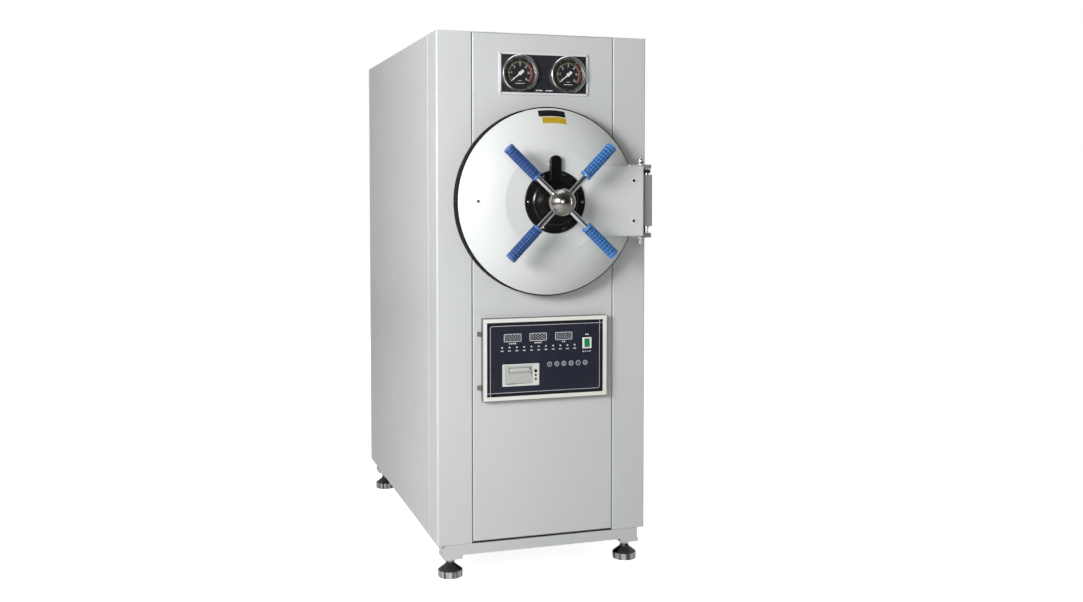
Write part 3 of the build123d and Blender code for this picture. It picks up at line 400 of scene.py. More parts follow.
def wool():
    s = Shader("mineral_wool", roughness=0.95)
    fibres = s.noise(240.0, 6.0, 0.75)
    s.set("Base Color", s.blend(s.spread(fibres, 0.0, 1.0), (0.40, 0.36, 0.26), (0.56, 0.52, 0.42)))
    s.set("Sheen Weight", 0.3)
    s.bump(fibres, 0.0015)
    return s.material


def silicone():
    s = Shader("silicone", roughness=0.45)
    s.set("Base Color", s.clouded(50.0, 3.0, (0.66, 0.64, 0.60), (0.54, 0.52, 0.48)))
    s.set("Roughness", s.spread(s.noise(120.0, 2.0), 0.38, 0.52))
    s.bump(s.noise(700.0, 2.0), 0.00003)
    return s.material


def circuit_board():
    s = Shader("circuit_board", roughness=0.4)
    traces = s.add("ShaderNodeTexBrick")
    s.feed(traces.inputs["Vector"], s.stretched((1.0, 1.0, 1.0)))
    traces.inputs["Scale"].default_value = 160.0
    traces.inputs["Color1"].default_value = (0.012, 0.085, 0.030, 1.0)
    traces.inputs["Color2"].default_value = (0.020, 0.130, 0.050, 1.0)
    traces.inputs["Mortar"].default_value = (0.030, 0.200, 0.080, 1.0)
    s.set("Base Color", traces.outputs["Color"])
    s.bump(s.noise(500.0, 2.0), 0.00004)
    return s.material


def made(maker, **rows):
    """Materials of one kind: each name with the values that its maker takes."""
    return {name: maker(name, *values) for name, values in rows.items()}


MATERIALS = {
    **made(
        painted,
        cabinet_paint=((0.560, 0.575, 0.570), (0.535, 0.550, 0.548)),
        frame_paint=((0.545, 0.560, 0.556), (0.515, 0.530, 0.528)),
        cover_paint=((0.600, 0.618, 0.608), (0.585, 0.603, 0.594), 0.46, 0.04, 0.00002),
        hinge_grey=((0.400, 0.400, 0.425), (0.350, 0.350, 0.370), 0.30, 0.3, 0.00004),
        frame_silver=((0.640, 0.645, 0.660), (0.600, 0.605, 0.620), 0.32, 0.3, 0.00003),
    ),
    **made(
        brushed,
        stainless=((0.56, 0.55, 0.53), (1.0, 1.0, 24.0)),
        machined_steel=((0.44, 0.44, 0.44), (1.0, 24.0, 1.0), 0.30),
        silver_trim=((0.62, 0.62, 0.63), (24.0, 1.0, 1.0), 0.34),
        zinc=((0.52, 0.53, 0.54), (1.0, 6.0, 1.0), 0.42),
        brass=((0.62, 0.46, 0.20), (1.0, 20.0, 1.0), 0.30),
        copper=((0.62, 0.33, 0.20), (1.0, 1.0, 16.0), 0.34),
    ),
    **made(
        chromed,
        chrome=(),
        bezel_chrome=((0.95, 0.95, 0.96), 0.20, 0.3),
    ),
    **made(
        moulded,
        black_plate=((0.014, 0.015, 0.019), (0.022, 0.023, 0.028), 0.32),
        ivory_trim=((0.800, 0.800, 0.750), (0.770, 0.770, 0.720), 0.36),
        cream_plastic=((0.640, 0.645, 0.610), (0.600, 0.605, 0.570)),
        flap_plastic=((0.455, 0.470, 0.440), (0.415, 0.430, 0.400)),
        white_plastic=((0.780, 0.785, 0.770), (0.740, 0.745, 0.730), 0.34),
        key_dark=((0.026, 0.030, 0.044), (0.040, 0.044, 0.058), 0.38),
    ),
    **made(
        printed,
        needle_white=((0.84, 0.84, 0.82), 0.4),
        dial_black=((0.008, 0.008, 0.009), 0.55),
        ink_white=((0.84, 0.84, 0.82),),
        ink_yellow=((0.34, 0.31, 0.12),),
        ink_red=((0.27, 0.035, 0.040),),
        ink_silver=((0.56, 0.56, 0.63), 0.38),
        ink_dark=((0.014, 0.014, 0.016),),
        plate_black=((0.012, 0.012, 0.013), 0.34),
        plate_yellow=((0.82, 0.60, 0.030), 0.40),
        segment_grey=((0.40, 0.40, 0.43),),
        paper=((0.95, 0.95, 0.92), 0.7),
    ),
    "black_enamel": black_enamel(),
    "rim_black": rim_black(),
    "arm_paint_and_reflection": arm_paint_and_reflection(),
    "foot_steel": foot_steel(),
    "ball_steel": ball_steel(),
    "blue_grip": grip_blue(),
    "silicone": silicone(),
    "mineral_wool": wool(),
    "frame_profile": frame_profile(),
    "navy_face": panel_navy(),
    "board_green": circuit_board(),
    "green_plastic": rocker_green(),
    "glass": clear_glass(),
    "lamp_lens": lamp_lens(),
    "display_window": display_window(),
}


def dress_cad_nodes():
    """Gives every CAD node the material of its slot or the more particular one listed here."""
    slots = {part["node"]: part["material_slot"] for part in frame["record"]["subparts"]}
    special = {"door_body": "rim_black", "door_arm": "arm_paint_and_reflection", "hinge_pin": "chrome",
               "panel_frame": "frame_profile", "gauge_frame": "frame_silver",
               "gauge_cases": "bezel_chrome", "printer_cover": "flap_plastic"}
    for name, node in NODES.items():
        if name.startswith("button_"):
            special[name] = "key_dark"
        if name.startswith("foot_"):
            special[name] = "foot_steel"
        material = MATERIALS[special.get(name, slots[name])]
        node.data.materials.clear()
        node.data.materials.append(material)


# ------------------------------------------------------------------ mesh helpers

def piece(name, mesh_or_bm, material, body, smooth_angle=35.0):
    """A finished piece: named, dressed, shaded and riding on its body."""
    if isinstance(mesh_or_bm, bmesh.types.BMesh):
        mesh = bpy.data.meshes.new(name)
        bmesh.ops.recalc_face_normals(mesh_or_bm, faces=mesh_or_bm.faces)
        mesh_or_bm.to_mesh(mesh)
        mesh_or_bm.free()
    else:
        mesh = mesh_or_bm
        mesh.name = name
    mesh.shade_smooth()
    mesh.set_sharp_from_angle(angle=math.radians(smooth_angle))
    mesh.materials.clear()
    mesh.materials.append(MATERIALS[material])
    obj = bpy.data.objects.new(name, mesh)
    bpy.context.scene.collection.objects.link(obj)
    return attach(obj, body)


def lathe(bm, outline, origin, axis=(0, 1, 0), steps=64):
    """Turns (radius, height) points about an axis through origin and closes the ends."""
    turn = Vector((0, 0, 1)).rotation_difference(Vector(axis)).to_matrix().to_4x4()
    place = Matrix.Translation(origin) @ turn
    rings = []
    for radius, height in outline:
        if radius < 1e-7:
            rings.append([bm.verts.new(place @ Vector((0, 0, height)))])
            continue
        ring = []
        for step in range(steps):
            angle = 2 * math.pi * step / steps
            point = Vector((radius * math.cos(angle), radius * math.sin(angle), height))
            ring.append(bm.verts.new(place @ point))
        rings.append(ring)
    for low, high in zip(rings, rings[1:]):
        for step in range(steps):
            after = (step + 1) % steps
            corners = [low[step % len(low)], low[after % len(low)],
                       high[after % len(high)], high[step % len(high)]]
            corners = list(dict.fromkeys(corners))
            if len(corners) > 2:
                bm.faces.new(corners)
    for ring, flip in ((rings[0], True), (rings[-1], False)):
        if len(ring) > 1:
            bm.faces.new(reversed(ring) if flip else ring)
    return bm


def slab(bm, corners, y_front, y_back):
    """Flat plate with an outline of (x, z) points, between two depths."""
    front = [bm.verts.new((x, y_front, z)) for x, z in corners]
    back = [bm.verts.new((x, y_back, z)) for x, z in corners]
    bm.faces.new(front)
    bm.faces.new(list(reversed(back)))
    count = len(corners)
    for index in range(count):
        after = (index + 1) % count
        bm.faces.new([front[after], front[index], back[index], back[after]])
    return bm


def bar(bm, x0, x1, z0, z1, y_front, y_back):
    return slab(bm, [(x0, z0), (x1, z0), (x1, z1), (x0, z1)], y_front, y_back)


def rounded(x0, x1, z0, z1, radius, steps=6):
    """Outline of a rectangle with round corners."""
    points = []
    corners = ((x1 - radius, z1 - radius, 0), (x0 + radius, z1 - radius, 90),
               (x0 + radius, z0 + radius, 180), (x1 - radius, z0 + radius, 270))
    for x, z, start in corners:
        for step in range(steps + 1):
            angle = math.radians(start + 90 * step / steps)
            points.append((x + radius * math.cos(angle), z + radius * math.sin(angle)))
    return points


def frame_strip(bm, outer, inner, y_front, y_back):
    """Closed band between two outlines with the same number of points."""
    rings = []
    for outline, y in ((outer, y_front), (inner, y_front), (inner, y_back), (outer, y_back)):
        rings.append([bm.verts.new((x, y, z)) for x, z in outline])
    count = len(outer)
    for first, second in zip(rings, rings[1:] + rings[:1]):
        for index in range(count):
            after = (index + 1) % count
            bm.faces.new([first[index], first[after], second[after], second[index]])
    return bm


def arc_band(bm, x, z, r0, r1, start, end, y_front, y_back):
    """Flat band along an arc; angles in degrees clockwise from the top."""
    steps = max(2, int(abs(end - start) / 3))
    points = []
    for radius, order in ((r1, range(steps + 1)), (r0, range(steps, -1, -1))):
        for step in order:
            angle = math.radians(start + (end - start) * step / steps)
            points.append((x + radius * math.sin(angle), z + radius * math.cos(angle)))
    left = points[: steps + 1]
    right = list(reversed(points[steps + 1:]))
    for index in range(steps):
        slab(bm, [left[index], left[index + 1], right[index + 1], right[index]], y_front, y_back)
    return bm


def words(text, size, x, y, z):
    """Numerals as a thin mesh centred at a point, facing the front."""
    curve = bpy.data.curves.new("numeral", "FONT")
    curve.body = text
    curve.size = size
    curve.align_x = "CENTER"
    curve.align_y = "CENTER"
    curve.extrude = 0.00008
    curve.resolution_u = 3
    holder = bpy.data.objects.new("numeral", curve)
    bpy.context.scene.collection.objects.link(holder)
    bpy.context.view_layer.update()
    mesh = bpy.data.meshes.new_from_object(holder.evaluated_get(bpy.context.evaluated_depsgraph_get()))
    bpy.data.objects.remove(holder)
    mesh.transform(Matrix.Translation((x, y, z)) @ Matrix.Rotation(math.radians(90), 4, "X"))
    return mesh


def joined(meshes):
    bm = bmesh.new()
    for mesh in meshes:
        bm.from_mesh(mesh)
        bpy.data.meshes.remove(mesh)
    return bm


COVER_TREE = BVHTree.FromPolygons([v.co for v in NODES["door_cover"].data.vertices],
                                  [p.vertices for p in NODES["door_cover"].data.polygons])


def on_cover(x, z):
    """Depth of the cover's outer surface at a place seen from the front."""
    hit = COVER_TREE.ray_cast(Vector((x, COVER_FRONT_Y - 0.1, z)), Vector((0, 1, 0)))
    return hit[0], hit[1]


# ------------------------------------------------------------------ gauges

def clock(centre_x, radius, degrees):
    """X and Z of a point on a gauge; degrees clockwise from the top."""
    angle = math.radians(degrees)
    return centre_x + radius * math.sin(angle), GAUGE_Z + radius * math.cos(angle)


def gauge_dial(side, x):
    """Dial with two scales, the limit arc, numerals and plain bars for its captions."""
    low = -130
    high = 130
    section = [(2.4 * MM, 0), (47.6 * MM, 0), (47.6 * MM, 0.15 * MM), (2.4 * MM, 0.15 * MM), (2.4 * MM, 0)]
    disc = lathe(bmesh.new(), section, (x, DIAL_Y, GAUGE_Z))
    piece(f"gauge_dial_{side}", disc, "dial_black", "cabinet")
    y0 = DIAL_Y - 0.22 * MM
    y1 = DIAL_Y
    ticks = bmesh.new()
    outer = bmesh.new()
    arc_band(outer, x, GAUGE_Z, 35.2 * MM, 35.9 * MM, low, high, y0, y1)
    for step in range(31):
        angle = low + (high - low) * step / 30
        major = step % 5 == 0
        inner_start = 30.5 if major else 32.5
        outer_end = 39.5 if major else 37.6
        for bm, r0, r1 in ((ticks, inner_start, 34.6), (outer, 36.2, outer_end)):
            half = 0.75 if major else 0.38
            spread = math.degrees(half / r1)
            arc_band(bm, x, GAUGE_Z, r0 * MM, r1 * MM, angle - spread, angle + spread, y0, y1)
    piece(f"gauge_ticks_{side}", ticks, "ink_white", "cabinet")
    piece(f"gauge_outer_scale_{side}", outer, "ink_yellow", "cabinet")
    red = arc_band(bmesh.new(), x, GAUGE_Z, 36.2 * MM, 40.2 * MM, 35, high, y0 - 0.05 * MM, y1)
    piece(f"gauge_limit_{side}", red, "ink_red", "cabinet")
    numerals = []
    for index in range(7):
        place_x, place_z = clock(x, 26.0 * MM, low + (high - low) * index / 6)
        numerals.append(words(f"{index}", 10.8 * MM, place_x, y0, place_z))
    piece(f"gauge_numerals_{side}", joined(numerals), "ink_white", "cabinet")
    outer_numerals = []
    for index in range(5):
        place_x, place_z = clock(x, 43.6 * MM, -72 + 36 * index)
        outer_numerals.append(words(f"{20 * (index + 1)}", 5.2 * MM, place_x, y0, place_z))
    piece(f"gauge_outer_numerals_{side}", joined(outer_numerals), "ink_yellow", "cabinet")
    legend = bmesh.new()
    bar(legend, x - 6 * MM, x + 6 * MM, GAUGE_Z - 22.6 * MM, GAUGE_Z - 21.4 * MM, y0, y1)
    bar(legend, x - 14 * MM, x + 14 * MM, GAUGE_Z - 30.8 * MM, GAUGE_Z - 29.2 * MM, y0, y1)
    piece(f"gauge_legend_{side}", legend, "ink_white", "cabinet")


def gauge_glass(side, x):
    """Slightly crowned glass in the bezel."""
    crown = [(0, -1.2 * MM), (20 * MM, -1.05 * MM), (38 * MM, -0.5 * MM), (47.7 * MM, 0),
             (47.7 * MM, 1.4 * MM), (38 * MM, 0.9 * MM), (20 * MM, 0.4 * MM), (0, 0.2 * MM)]
    glass = lathe(bmesh.new(), crown, (x, FRONT_Y - 11.6 * MM, GAUGE_Z))
    piece(f"gauge_glass_{side}", glass, "glass", "cabinet")


def needle_cap(side, x):
    """Rounded boss over the needle's arbor."""
    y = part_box(f"needle_{side}")[0].y
    section = [(5.6 * MM, 1.0 * MM), (5.6 * MM, 0.2 * MM), (4.6 * MM, -0.7 * MM), (0, -1.1 * MM)]
    cap = lathe(bmesh.new(), section, (x, y, GAUGE_Z))
    piece(f"needle_cap_{side}", cap, "needle_white", f"{side}_needle")


def small_screw(name, x, y, z, radius, slot_turn):
    """Domed screw head facing the front, with a dark bar painted as the shade in its slot."""
    head = [(radius, 0), (radius, -0.25 * radius), (0.8 * radius, -0.5 * radius),
            (0.4 * radius, -0.62 * radius), (0, -0.66 * radius)]
    piece(name, lathe(bmesh.new(), head, (x, y, z), steps=32), "hinge_grey", "cabinet")
    # The slot is a dark bar on the dome: painted shade, not a cut.
    slot = bmesh.new()
    bar(slot, -0.75 * radius, 0.75 * radius, -0.13 * radius, 0.13 * radius, -0.72 * radius, -0.3 * radius)
    place = Matrix.Translation((x, y, z)) @ Matrix.Rotation(math.radians(slot_turn), 4, "Y")
    bmesh.ops.transform(slot, verts=slot.verts, matrix=place)
    piece(name + "_slot", slot, "ink_dark", "cabinet")


def gauge_group():
    """Both gauges, the frame's four screws and the plate's caption bars."""
    frame_low, frame_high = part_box("gauge_frame")
    for side, x in (("left", -GAUGE_X), ("right", GAUGE_X)):
        gauge_dial(side, x)
        gauge_glass(side, x)
        needle_cap(side, x)
    inset = 5.4 * MM
    number = 0
    for x in (frame_low.x + inset, frame_high.x - inset):
        for z in (frame_low.z + inset, frame_high.z - inset):
            number += 1
            y = frame_low.y + 0.1 * MM
            small_screw(f"gauge_frame_screw_{number}", x, y, z, 2.7 * MM, 30 * number)
    legend = bmesh.new()
    for x0, x1 in ((-27, -19), (-17, -5), (5, 10), (12, 27)):
        bar(legend, x0 * MM, x1 * MM, PLATE_LOW.z + 6 * MM, PLATE_LOW.z + 8.4 * MM,
            PLATE_LOW.y - 0.12 * MM, PLATE_LOW.y + 0.1 * MM)
    piece("gauge_panel_legend", legend, "ink_white", "cabinet")


# ------------------------------------------------------------------ door

def cover_label(name, x0, x1, r0, r1, material):
    """Blank plate that follows the curve of the cover near its upper rim."""
    bm = bmesh.new()
    columns = 16
    rows = 4
    grid = []
    for row in range(rows + 1):
        radius = r0 + (r1 - r0) * row / rows
        line = []
        for column in range(columns + 1):
            x = x0 + (x1 - x0) * column / columns
            point, normal = on_cover(x, AXIS_Z + math.sqrt(radius ** 2 - x ** 2))
            line.append(bm.verts.new(point + normal * 0.5 * MM))
        grid.append(line)
    for low, high in zip(grid, grid[1:]):
        for index in range(columns):
            bm.faces.new([low[index], low[index + 1], high[index + 1], high[index]])
    bmesh.ops.solidify(bm, geom=bm.faces[:], thickness=0.45 * MM)
    return piece(name, bm, material, "door")


def cover_screws():
    """Two screws on the wing and one on the left of the skirt: dark sockets in white rims, the rims a
    painted highlight of the plated heads.
    """
    for number, (x, z) in enumerate(COVER_SCREWS, start=1):
        point, normal = on_cover(x * MM, AXIS_Z + z * MM)
        if x > 0:
            point.y = COVER_FRONT_Y
            normal = Vector((0, -1, 0))
        # The white rim is a painted highlight standing in for the plating's bright crescent.
        rim = [(7.0 * MM, 0.4 * MM), (7.0 * MM, -1.0 * MM), (6.4 * MM, -1.5 * MM), (4.9 * MM, -1.5 * MM),
               (4.9 * MM, 0.4 * MM), (7.0 * MM, 0.4 * MM)]
        ring = lathe(bmesh.new(), rim, point, -normal, 32)
        piece(f"cover_screw_{number}", ring, "ink_white", "door")
        socket_section = [(5.0 * MM, 0.4 * MM), (5.0 * MM, -1.3 * MM), (0, -1.3 * MM)]
        socket = lathe(bmesh.new(), socket_section, point, -normal, 32)
        piece(f"cover_screw_socket_{number}", socket, "ink_dark", "door")


def hub_screws():
    """Small screws round the hub, and a clip bar in place of two of them."""
    y = HUB_HIGH.y - 67 * MM
    dot = [(3.4 * MM, 0.5 * MM), (3.4 * MM, -3.4 * MM), (2.8 * MM, -3.9 * MM), (0, -4.1 * MM)]
    for number, degrees in enumerate(HUB_SCREW_ANGLES, start=1):
        angle = math.radians(degrees)
        x = HUB_SCREW_R * math.cos(angle)
        z = AXIS_Z + HUB_SCREW_R * math.sin(angle)
        if degrees in HUB_CLIP_ANGLES:
            long_way = Vector((-math.sin(angle), 0, math.cos(angle)))
            across = Vector((math.cos(angle), 0, math.sin(angle)))
            corners = []
            for along, side in ((-8, -2.1), (8, -2.1), (8, 2.1), (-8, 2.1)):
                corner = long_way * along * MM + across * side * MM
                corners.append((x + corner.x, z + corner.z))
            clip = slab(bmesh.new(), corners, y - 3.9 * MM, y + 0.4 * MM)
            piece(f"hub_clip_{number}", clip, "chrome", "door")
        else:
            screw = lathe(bmesh.new(), dot, (x, y, z), steps=24)
            piece(f"hub_screw_{number}", screw, "chrome", "door")


def hinge_collar():
    """Black collar on the pin between the barrel and the upper lug."""
    low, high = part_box("hinge_pin")
    centre = ((low.x + high.x) / 2, (low.y + high.y) / 2, high.z - 26.6 * MM)
    section = [(9.6 * MM, 0), (12.6 * MM, 0.4 * MM), (13 * MM, 1.2 * MM), (13 * MM, 10.6 * MM),
               (12.4 * MM, 11.4 * MM), (9.6 * MM, 11.4 * MM), (9.6 * MM, 0)]
    collar = lathe(bmesh.new(), section, centre, (0, 0, 1), 48)
    piece("hinge_collar", collar, "black_plate", "door")


def hinge_nuts():
    """Washer and tall domed nut on the arm's upper and lower lug."""
    low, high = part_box("door_arm")
    x = 287.5 * MM
    y = FRONT_Y - 76 * MM
    washer = [(10.4 * MM, 0), (10.4 * MM, 2 * MM), (0, 2 * MM)]
    hexagon = [(9.8 * MM, 2 * MM), (9.8 * MM, 10 * MM), (0, 10 * MM)]
    dome = [(8 * MM, 9.8 * MM), (8 * MM, 14 * MM), (6.9 * MM, 18 * MM), (4.4 * MM, 21 * MM), (0, 22.4 * MM)]
    for name, z, up in (("upper", high.z, 1), ("lower", low.z, -1)):
        bm = lathe(bmesh.new(), washer, (x, y, z), (0, 0, up), 40)
        lathe(bm, hexagon, (x, y, z), (0, 0, up), 6)
        lathe(bm, dome, (x, y, z), (0, 0, up), 40)
        piece(f"hinge_nut_{name}", bm, "bezel_chrome", "door")


def lug_screw():
    """Small clamp screw in the left side of the hub's upper lug."""
    x = -17.5 * MM
    y = HUB_LOW.y + 9 * MM
    z = AXIS_Z + 112 * MM
    head = [(4.2 * MM, 0), (4.2 * MM, -1.6 * MM), (3.2 * MM, -2.4 * MM), (0, -2.6 * MM)]
    piece("lug_screw", lathe(bmesh.new(), head, (x, y, z), (1, 0, 0), 32), "chrome", "door")


def grip(name, degrees):
    """Handwheel grip: flared collar, a coarse grid of grooves and a ringed outer end."""
    length = (GRIP_END - GRIP_START) / MM
    start = [(8.6, 0.0), (16.2, 0.0), (17.0, 1.2), (17.2, 3.0), (17.0, 5.4), (16.2, 7.0), (15.2, 8.0),
             (15.2, 11.0), (16.3, 12.6), (16.5, 14.0)]
    end = [(15.4, length - 18.4), (15.4, length - 15.6), (16.5, length - 14.2), (16.5, length - 9.6),
           (15.5, length - 8.6), (15.5, length - 7.4), (16.5, length - 6.4), (16.5, length - 2.6),
           (15.4, length - 0.7), (13.2, length), (0.0, length)]
    middle = []
    cells = 8
    pitch = (length - 19.6 - 14.0) / cells
    for cell in range(cells):
        height = 14.0 + pitch * cell
        middle += [(16.5, height + 0.2), (15.0, height + 0.8), (15.0, height + 2.8), (16.5, height + 3.4),
                   (16.5, height + pitch * 0.6)]
    middle.append((16.5, length - 19.6))
    angles = []
    for groove in range(12):
        angles += [30 * groove + offset for offset in (-4.6, -3.2, 3.2, 4.6, 15.0)]
    bm = bmesh.new()
    painted_groove_shade = bm.verts.layers.float.new("groove")
    rings = []
    for radius, height in start + middle + end:
        ring = []
        for index, angle in enumerate(angles):
            lined = 14.0 < height < length - 19.7
            inner = lined and index % 5 in (1, 2)
            reach = min(radius, 15.0) if inner else radius
            turn = math.radians(angle)
            vert = bm.verts.new((reach * math.cos(turn) * MM, reach * math.sin(turn) * MM, height * MM))
            # Marks the sunk groove vertices for the painted groove shade of the grip material.
            vert[painted_groove_shade] = 1.0 if reach < 15.7 and height > 7.5 and height < length - 1.0 else 0.0
            ring.append(vert)
        rings.append(ring)
    for low, high in zip(rings, rings[1:]):
        for index in range(len(angles)):
            after = (index + 1) % len(angles)
            bm.faces.new([low[index], low[after], high[after], high[index]])
    bm.faces.new(list(reversed(rings[0])))
    bmesh.ops.remove_doubles(bm, verts=rings[-1], dist=1e-6)
    direction = Vector((math.cos(math.radians(degrees)), 0, math.sin(math.radians(degrees))))
    turn = Vector((0, 0, 1)).rotation_difference(direction).to_matrix().to_4x4()
    place = Matrix.Translation(Vector((0, BALL_Y, AXIS_Z)) + direction * GRIP_START) @ turn
    bmesh.ops.transform(bm, matrix=place, verts=bm.verts)
    return piece(name, bm, "blue_grip", "handwheel", 30.0)


def handwheel():
    """The four grips, which stand in for the plain ones of the CAD."""
    grips = [grip(f"grip_{index + 1}", degrees) for index, degrees in enumerate(SPOKE_ANGLES)]
    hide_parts("wheel_grips")


# ------------------------------------------------------------------ control panel

def panel_line():
    """Thin silver line near the face's edge: crossed at two corners and rounded at the others."""
    inset = 11 * MM
    width = 1.5 * MM
    radius = 7 * MM
    x0 = FACE_LOW.x + inset
    x1 = FACE_HIGH.x - inset
    z0 = FACE_LOW.z + inset
    z1 = FACE_HIGH.z - inset
    y0 = FACE_LOW.y - 0.12 * MM
    y1 = FACE_LOW.y + 0.05 * MM
    half = width / 2
    bm = bmesh.new()
    bar(bm, x0 - half, x0 + half, FACE_LOW.z, z1 - radius, y0, y1)
    bar(bm, x1 - half, x1 + half, z0 + radius, FACE_HIGH.z, y0, y1)
    bar(bm, FACE_LOW.x, x1 - radius, z0 - half, z0 + half, y0, y1)
    bar(bm, x0 + radius, FACE_HIGH.x, z1 - half, z1 + half, y0, y1)
    arc_band(bm, x0 + radius, z1 - radius, radius - half, radius + half, -90, 0, y0, y1)
    arc_band(bm, x1 - radius, z0 + radius, radius - half, radius + half, 90, 180, y0, y1)
    piece("panel_line", bm, "ink_silver", "panel_door")


def seven_segments(bm, x, z, height, y_front, y_back):
    """One unlit seven-segment digit."""
    width = 0.52 * height
    stroke = 0.12 * height
    gap = 0.04 * height
    half_w = width / 2
    half_h = height / 2
    for row in (-half_h, 0, half_h):
        bar(bm, x - half_w + stroke, x + half_w - stroke, z + row - stroke / 2, z + row + stroke / 2,
            y_front, y_back)
    lower = (-half_h + gap + stroke / 2, -gap - stroke / 2)
    upper = (gap + stroke / 2, half_h - gap - stroke / 2)
    for column in (-half_w, half_w):
        for low, high in (lower, upper):
            bar(bm, x + column - stroke / 2, x + column + stroke / 2, z + low, z + high, y_front, y_back)


def display(number, x, z, width, height):
    """Display window with its silver surround and four unlit digits."""
    y = FACE_LOW.y
    outer = rounded(x - width / 2, x + width / 2, z - height / 2, z + height / 2, 3.2 * MM)
    inner = rounded(x - width / 2 + 2 * MM, x + width / 2 - 2 * MM,
                    z - height / 2 + 2 * MM, z + height / 2 - 2 * MM, 2.0 * MM)
    surround = frame_strip(bmesh.new(), outer, inner, y - 0.6 * MM, y + 0.4 * MM)
    piece(f"display_surround_{number}", surround, "ink_silver", "panel_door")
    window = slab(bmesh.new(), inner, y - 0.1 * MM, y + 0.6 * MM)
    piece(f"display_window_{number}", window, "display_window", "panel_door")
    digits = bmesh.new()
    for index in range(4):
        seven_segments(digits, x + (index - 1.5) * 12.0 * MM, z, 14.5 * MM, y - 0.16 * MM, y)
    piece(f"display_digits_{number}", digits, "segment_grey", "panel_door")


def legend_bars(name, bars):
    """Short printed bars that stand for the panel's captions."""
    bm = bmesh.new()
    y = FACE_LOW.y
    for x, z, width, height in bars:
        bar(bm, x - width / 2, x + width / 2, z - height / 2, z + height / 2, y - 0.1 * MM, y + 0.05 * MM)
    piece(name, bm, "ink_white", "panel_door")


def lamps():
    """Row of small domed lamps with two caption bars under each."""
    dome = [(2.7 * MM, 2.2 * MM), (2.7 * MM, 0.2 * MM), (2.3 * MM, -0.9 * MM), (1.3 * MM, -1.5 * MM),
            (0, -1.7 * MM)]
    captions = []
    for index in range(LAMP_COUNT):
        x = LAMP_X + LAMP_PITCH * index
        lamp = lathe(bmesh.new(), dome, (x, FACE_LOW.y, LAMP_Z), steps=24)
        piece(f"lamp_{index + 1}", lamp, "lamp_lens", "panel_door")
        for side in (-2.4 * MM, 2.4 * MM):
            captions.append((x + side, LAMP_Z - 10.5 * MM, 3.2 * MM, 3.0 * MM))
    legend_bars("lamp_captions", captions)


def key_mark(number):
    """Silver ring round one key's cap and a plain symbol on it."""
    low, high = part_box(f"button_{number}")
    x = (low.x + high.x) / 2
    z = (low.z + high.z) / 2
    y0 = low.y - 0.12 * MM
    y1 = low.y + 0.1 * MM
    bm = arc_band(bmesh.new(), x, z, 5.9 * MM, 7.45 * MM, 0, 360, y0, low.y + 0.9 * MM)
    size = 2.6 * MM
    stroke = 0.45 * MM
    if number in (1, 5):
        bar(bm, x - stroke, x + stroke, z - size, z + size, y0, y1)
    if number == 2:
        slab(bm, [(x - size, z), (x, z - size), (x + size, z), (x, z + size)], y0, y1)
    if number in (3, 6):
        slab(bm, [(x - size, z - size), (x + size, z - size), (x, z + size)], y0, y1)
    if number == 4:
        bar(bm, x - size, x + size, z - stroke, z + stroke, y0, y1)
        bar(bm, x - stroke, x + stroke, z - size, z - stroke, y0, y1)
        bar(bm, x - stroke, x + stroke, z + stroke, z + size, y0, y1)
    piece(f"key_mark_{number}", bm, "ink_silver", f"key_{number}")


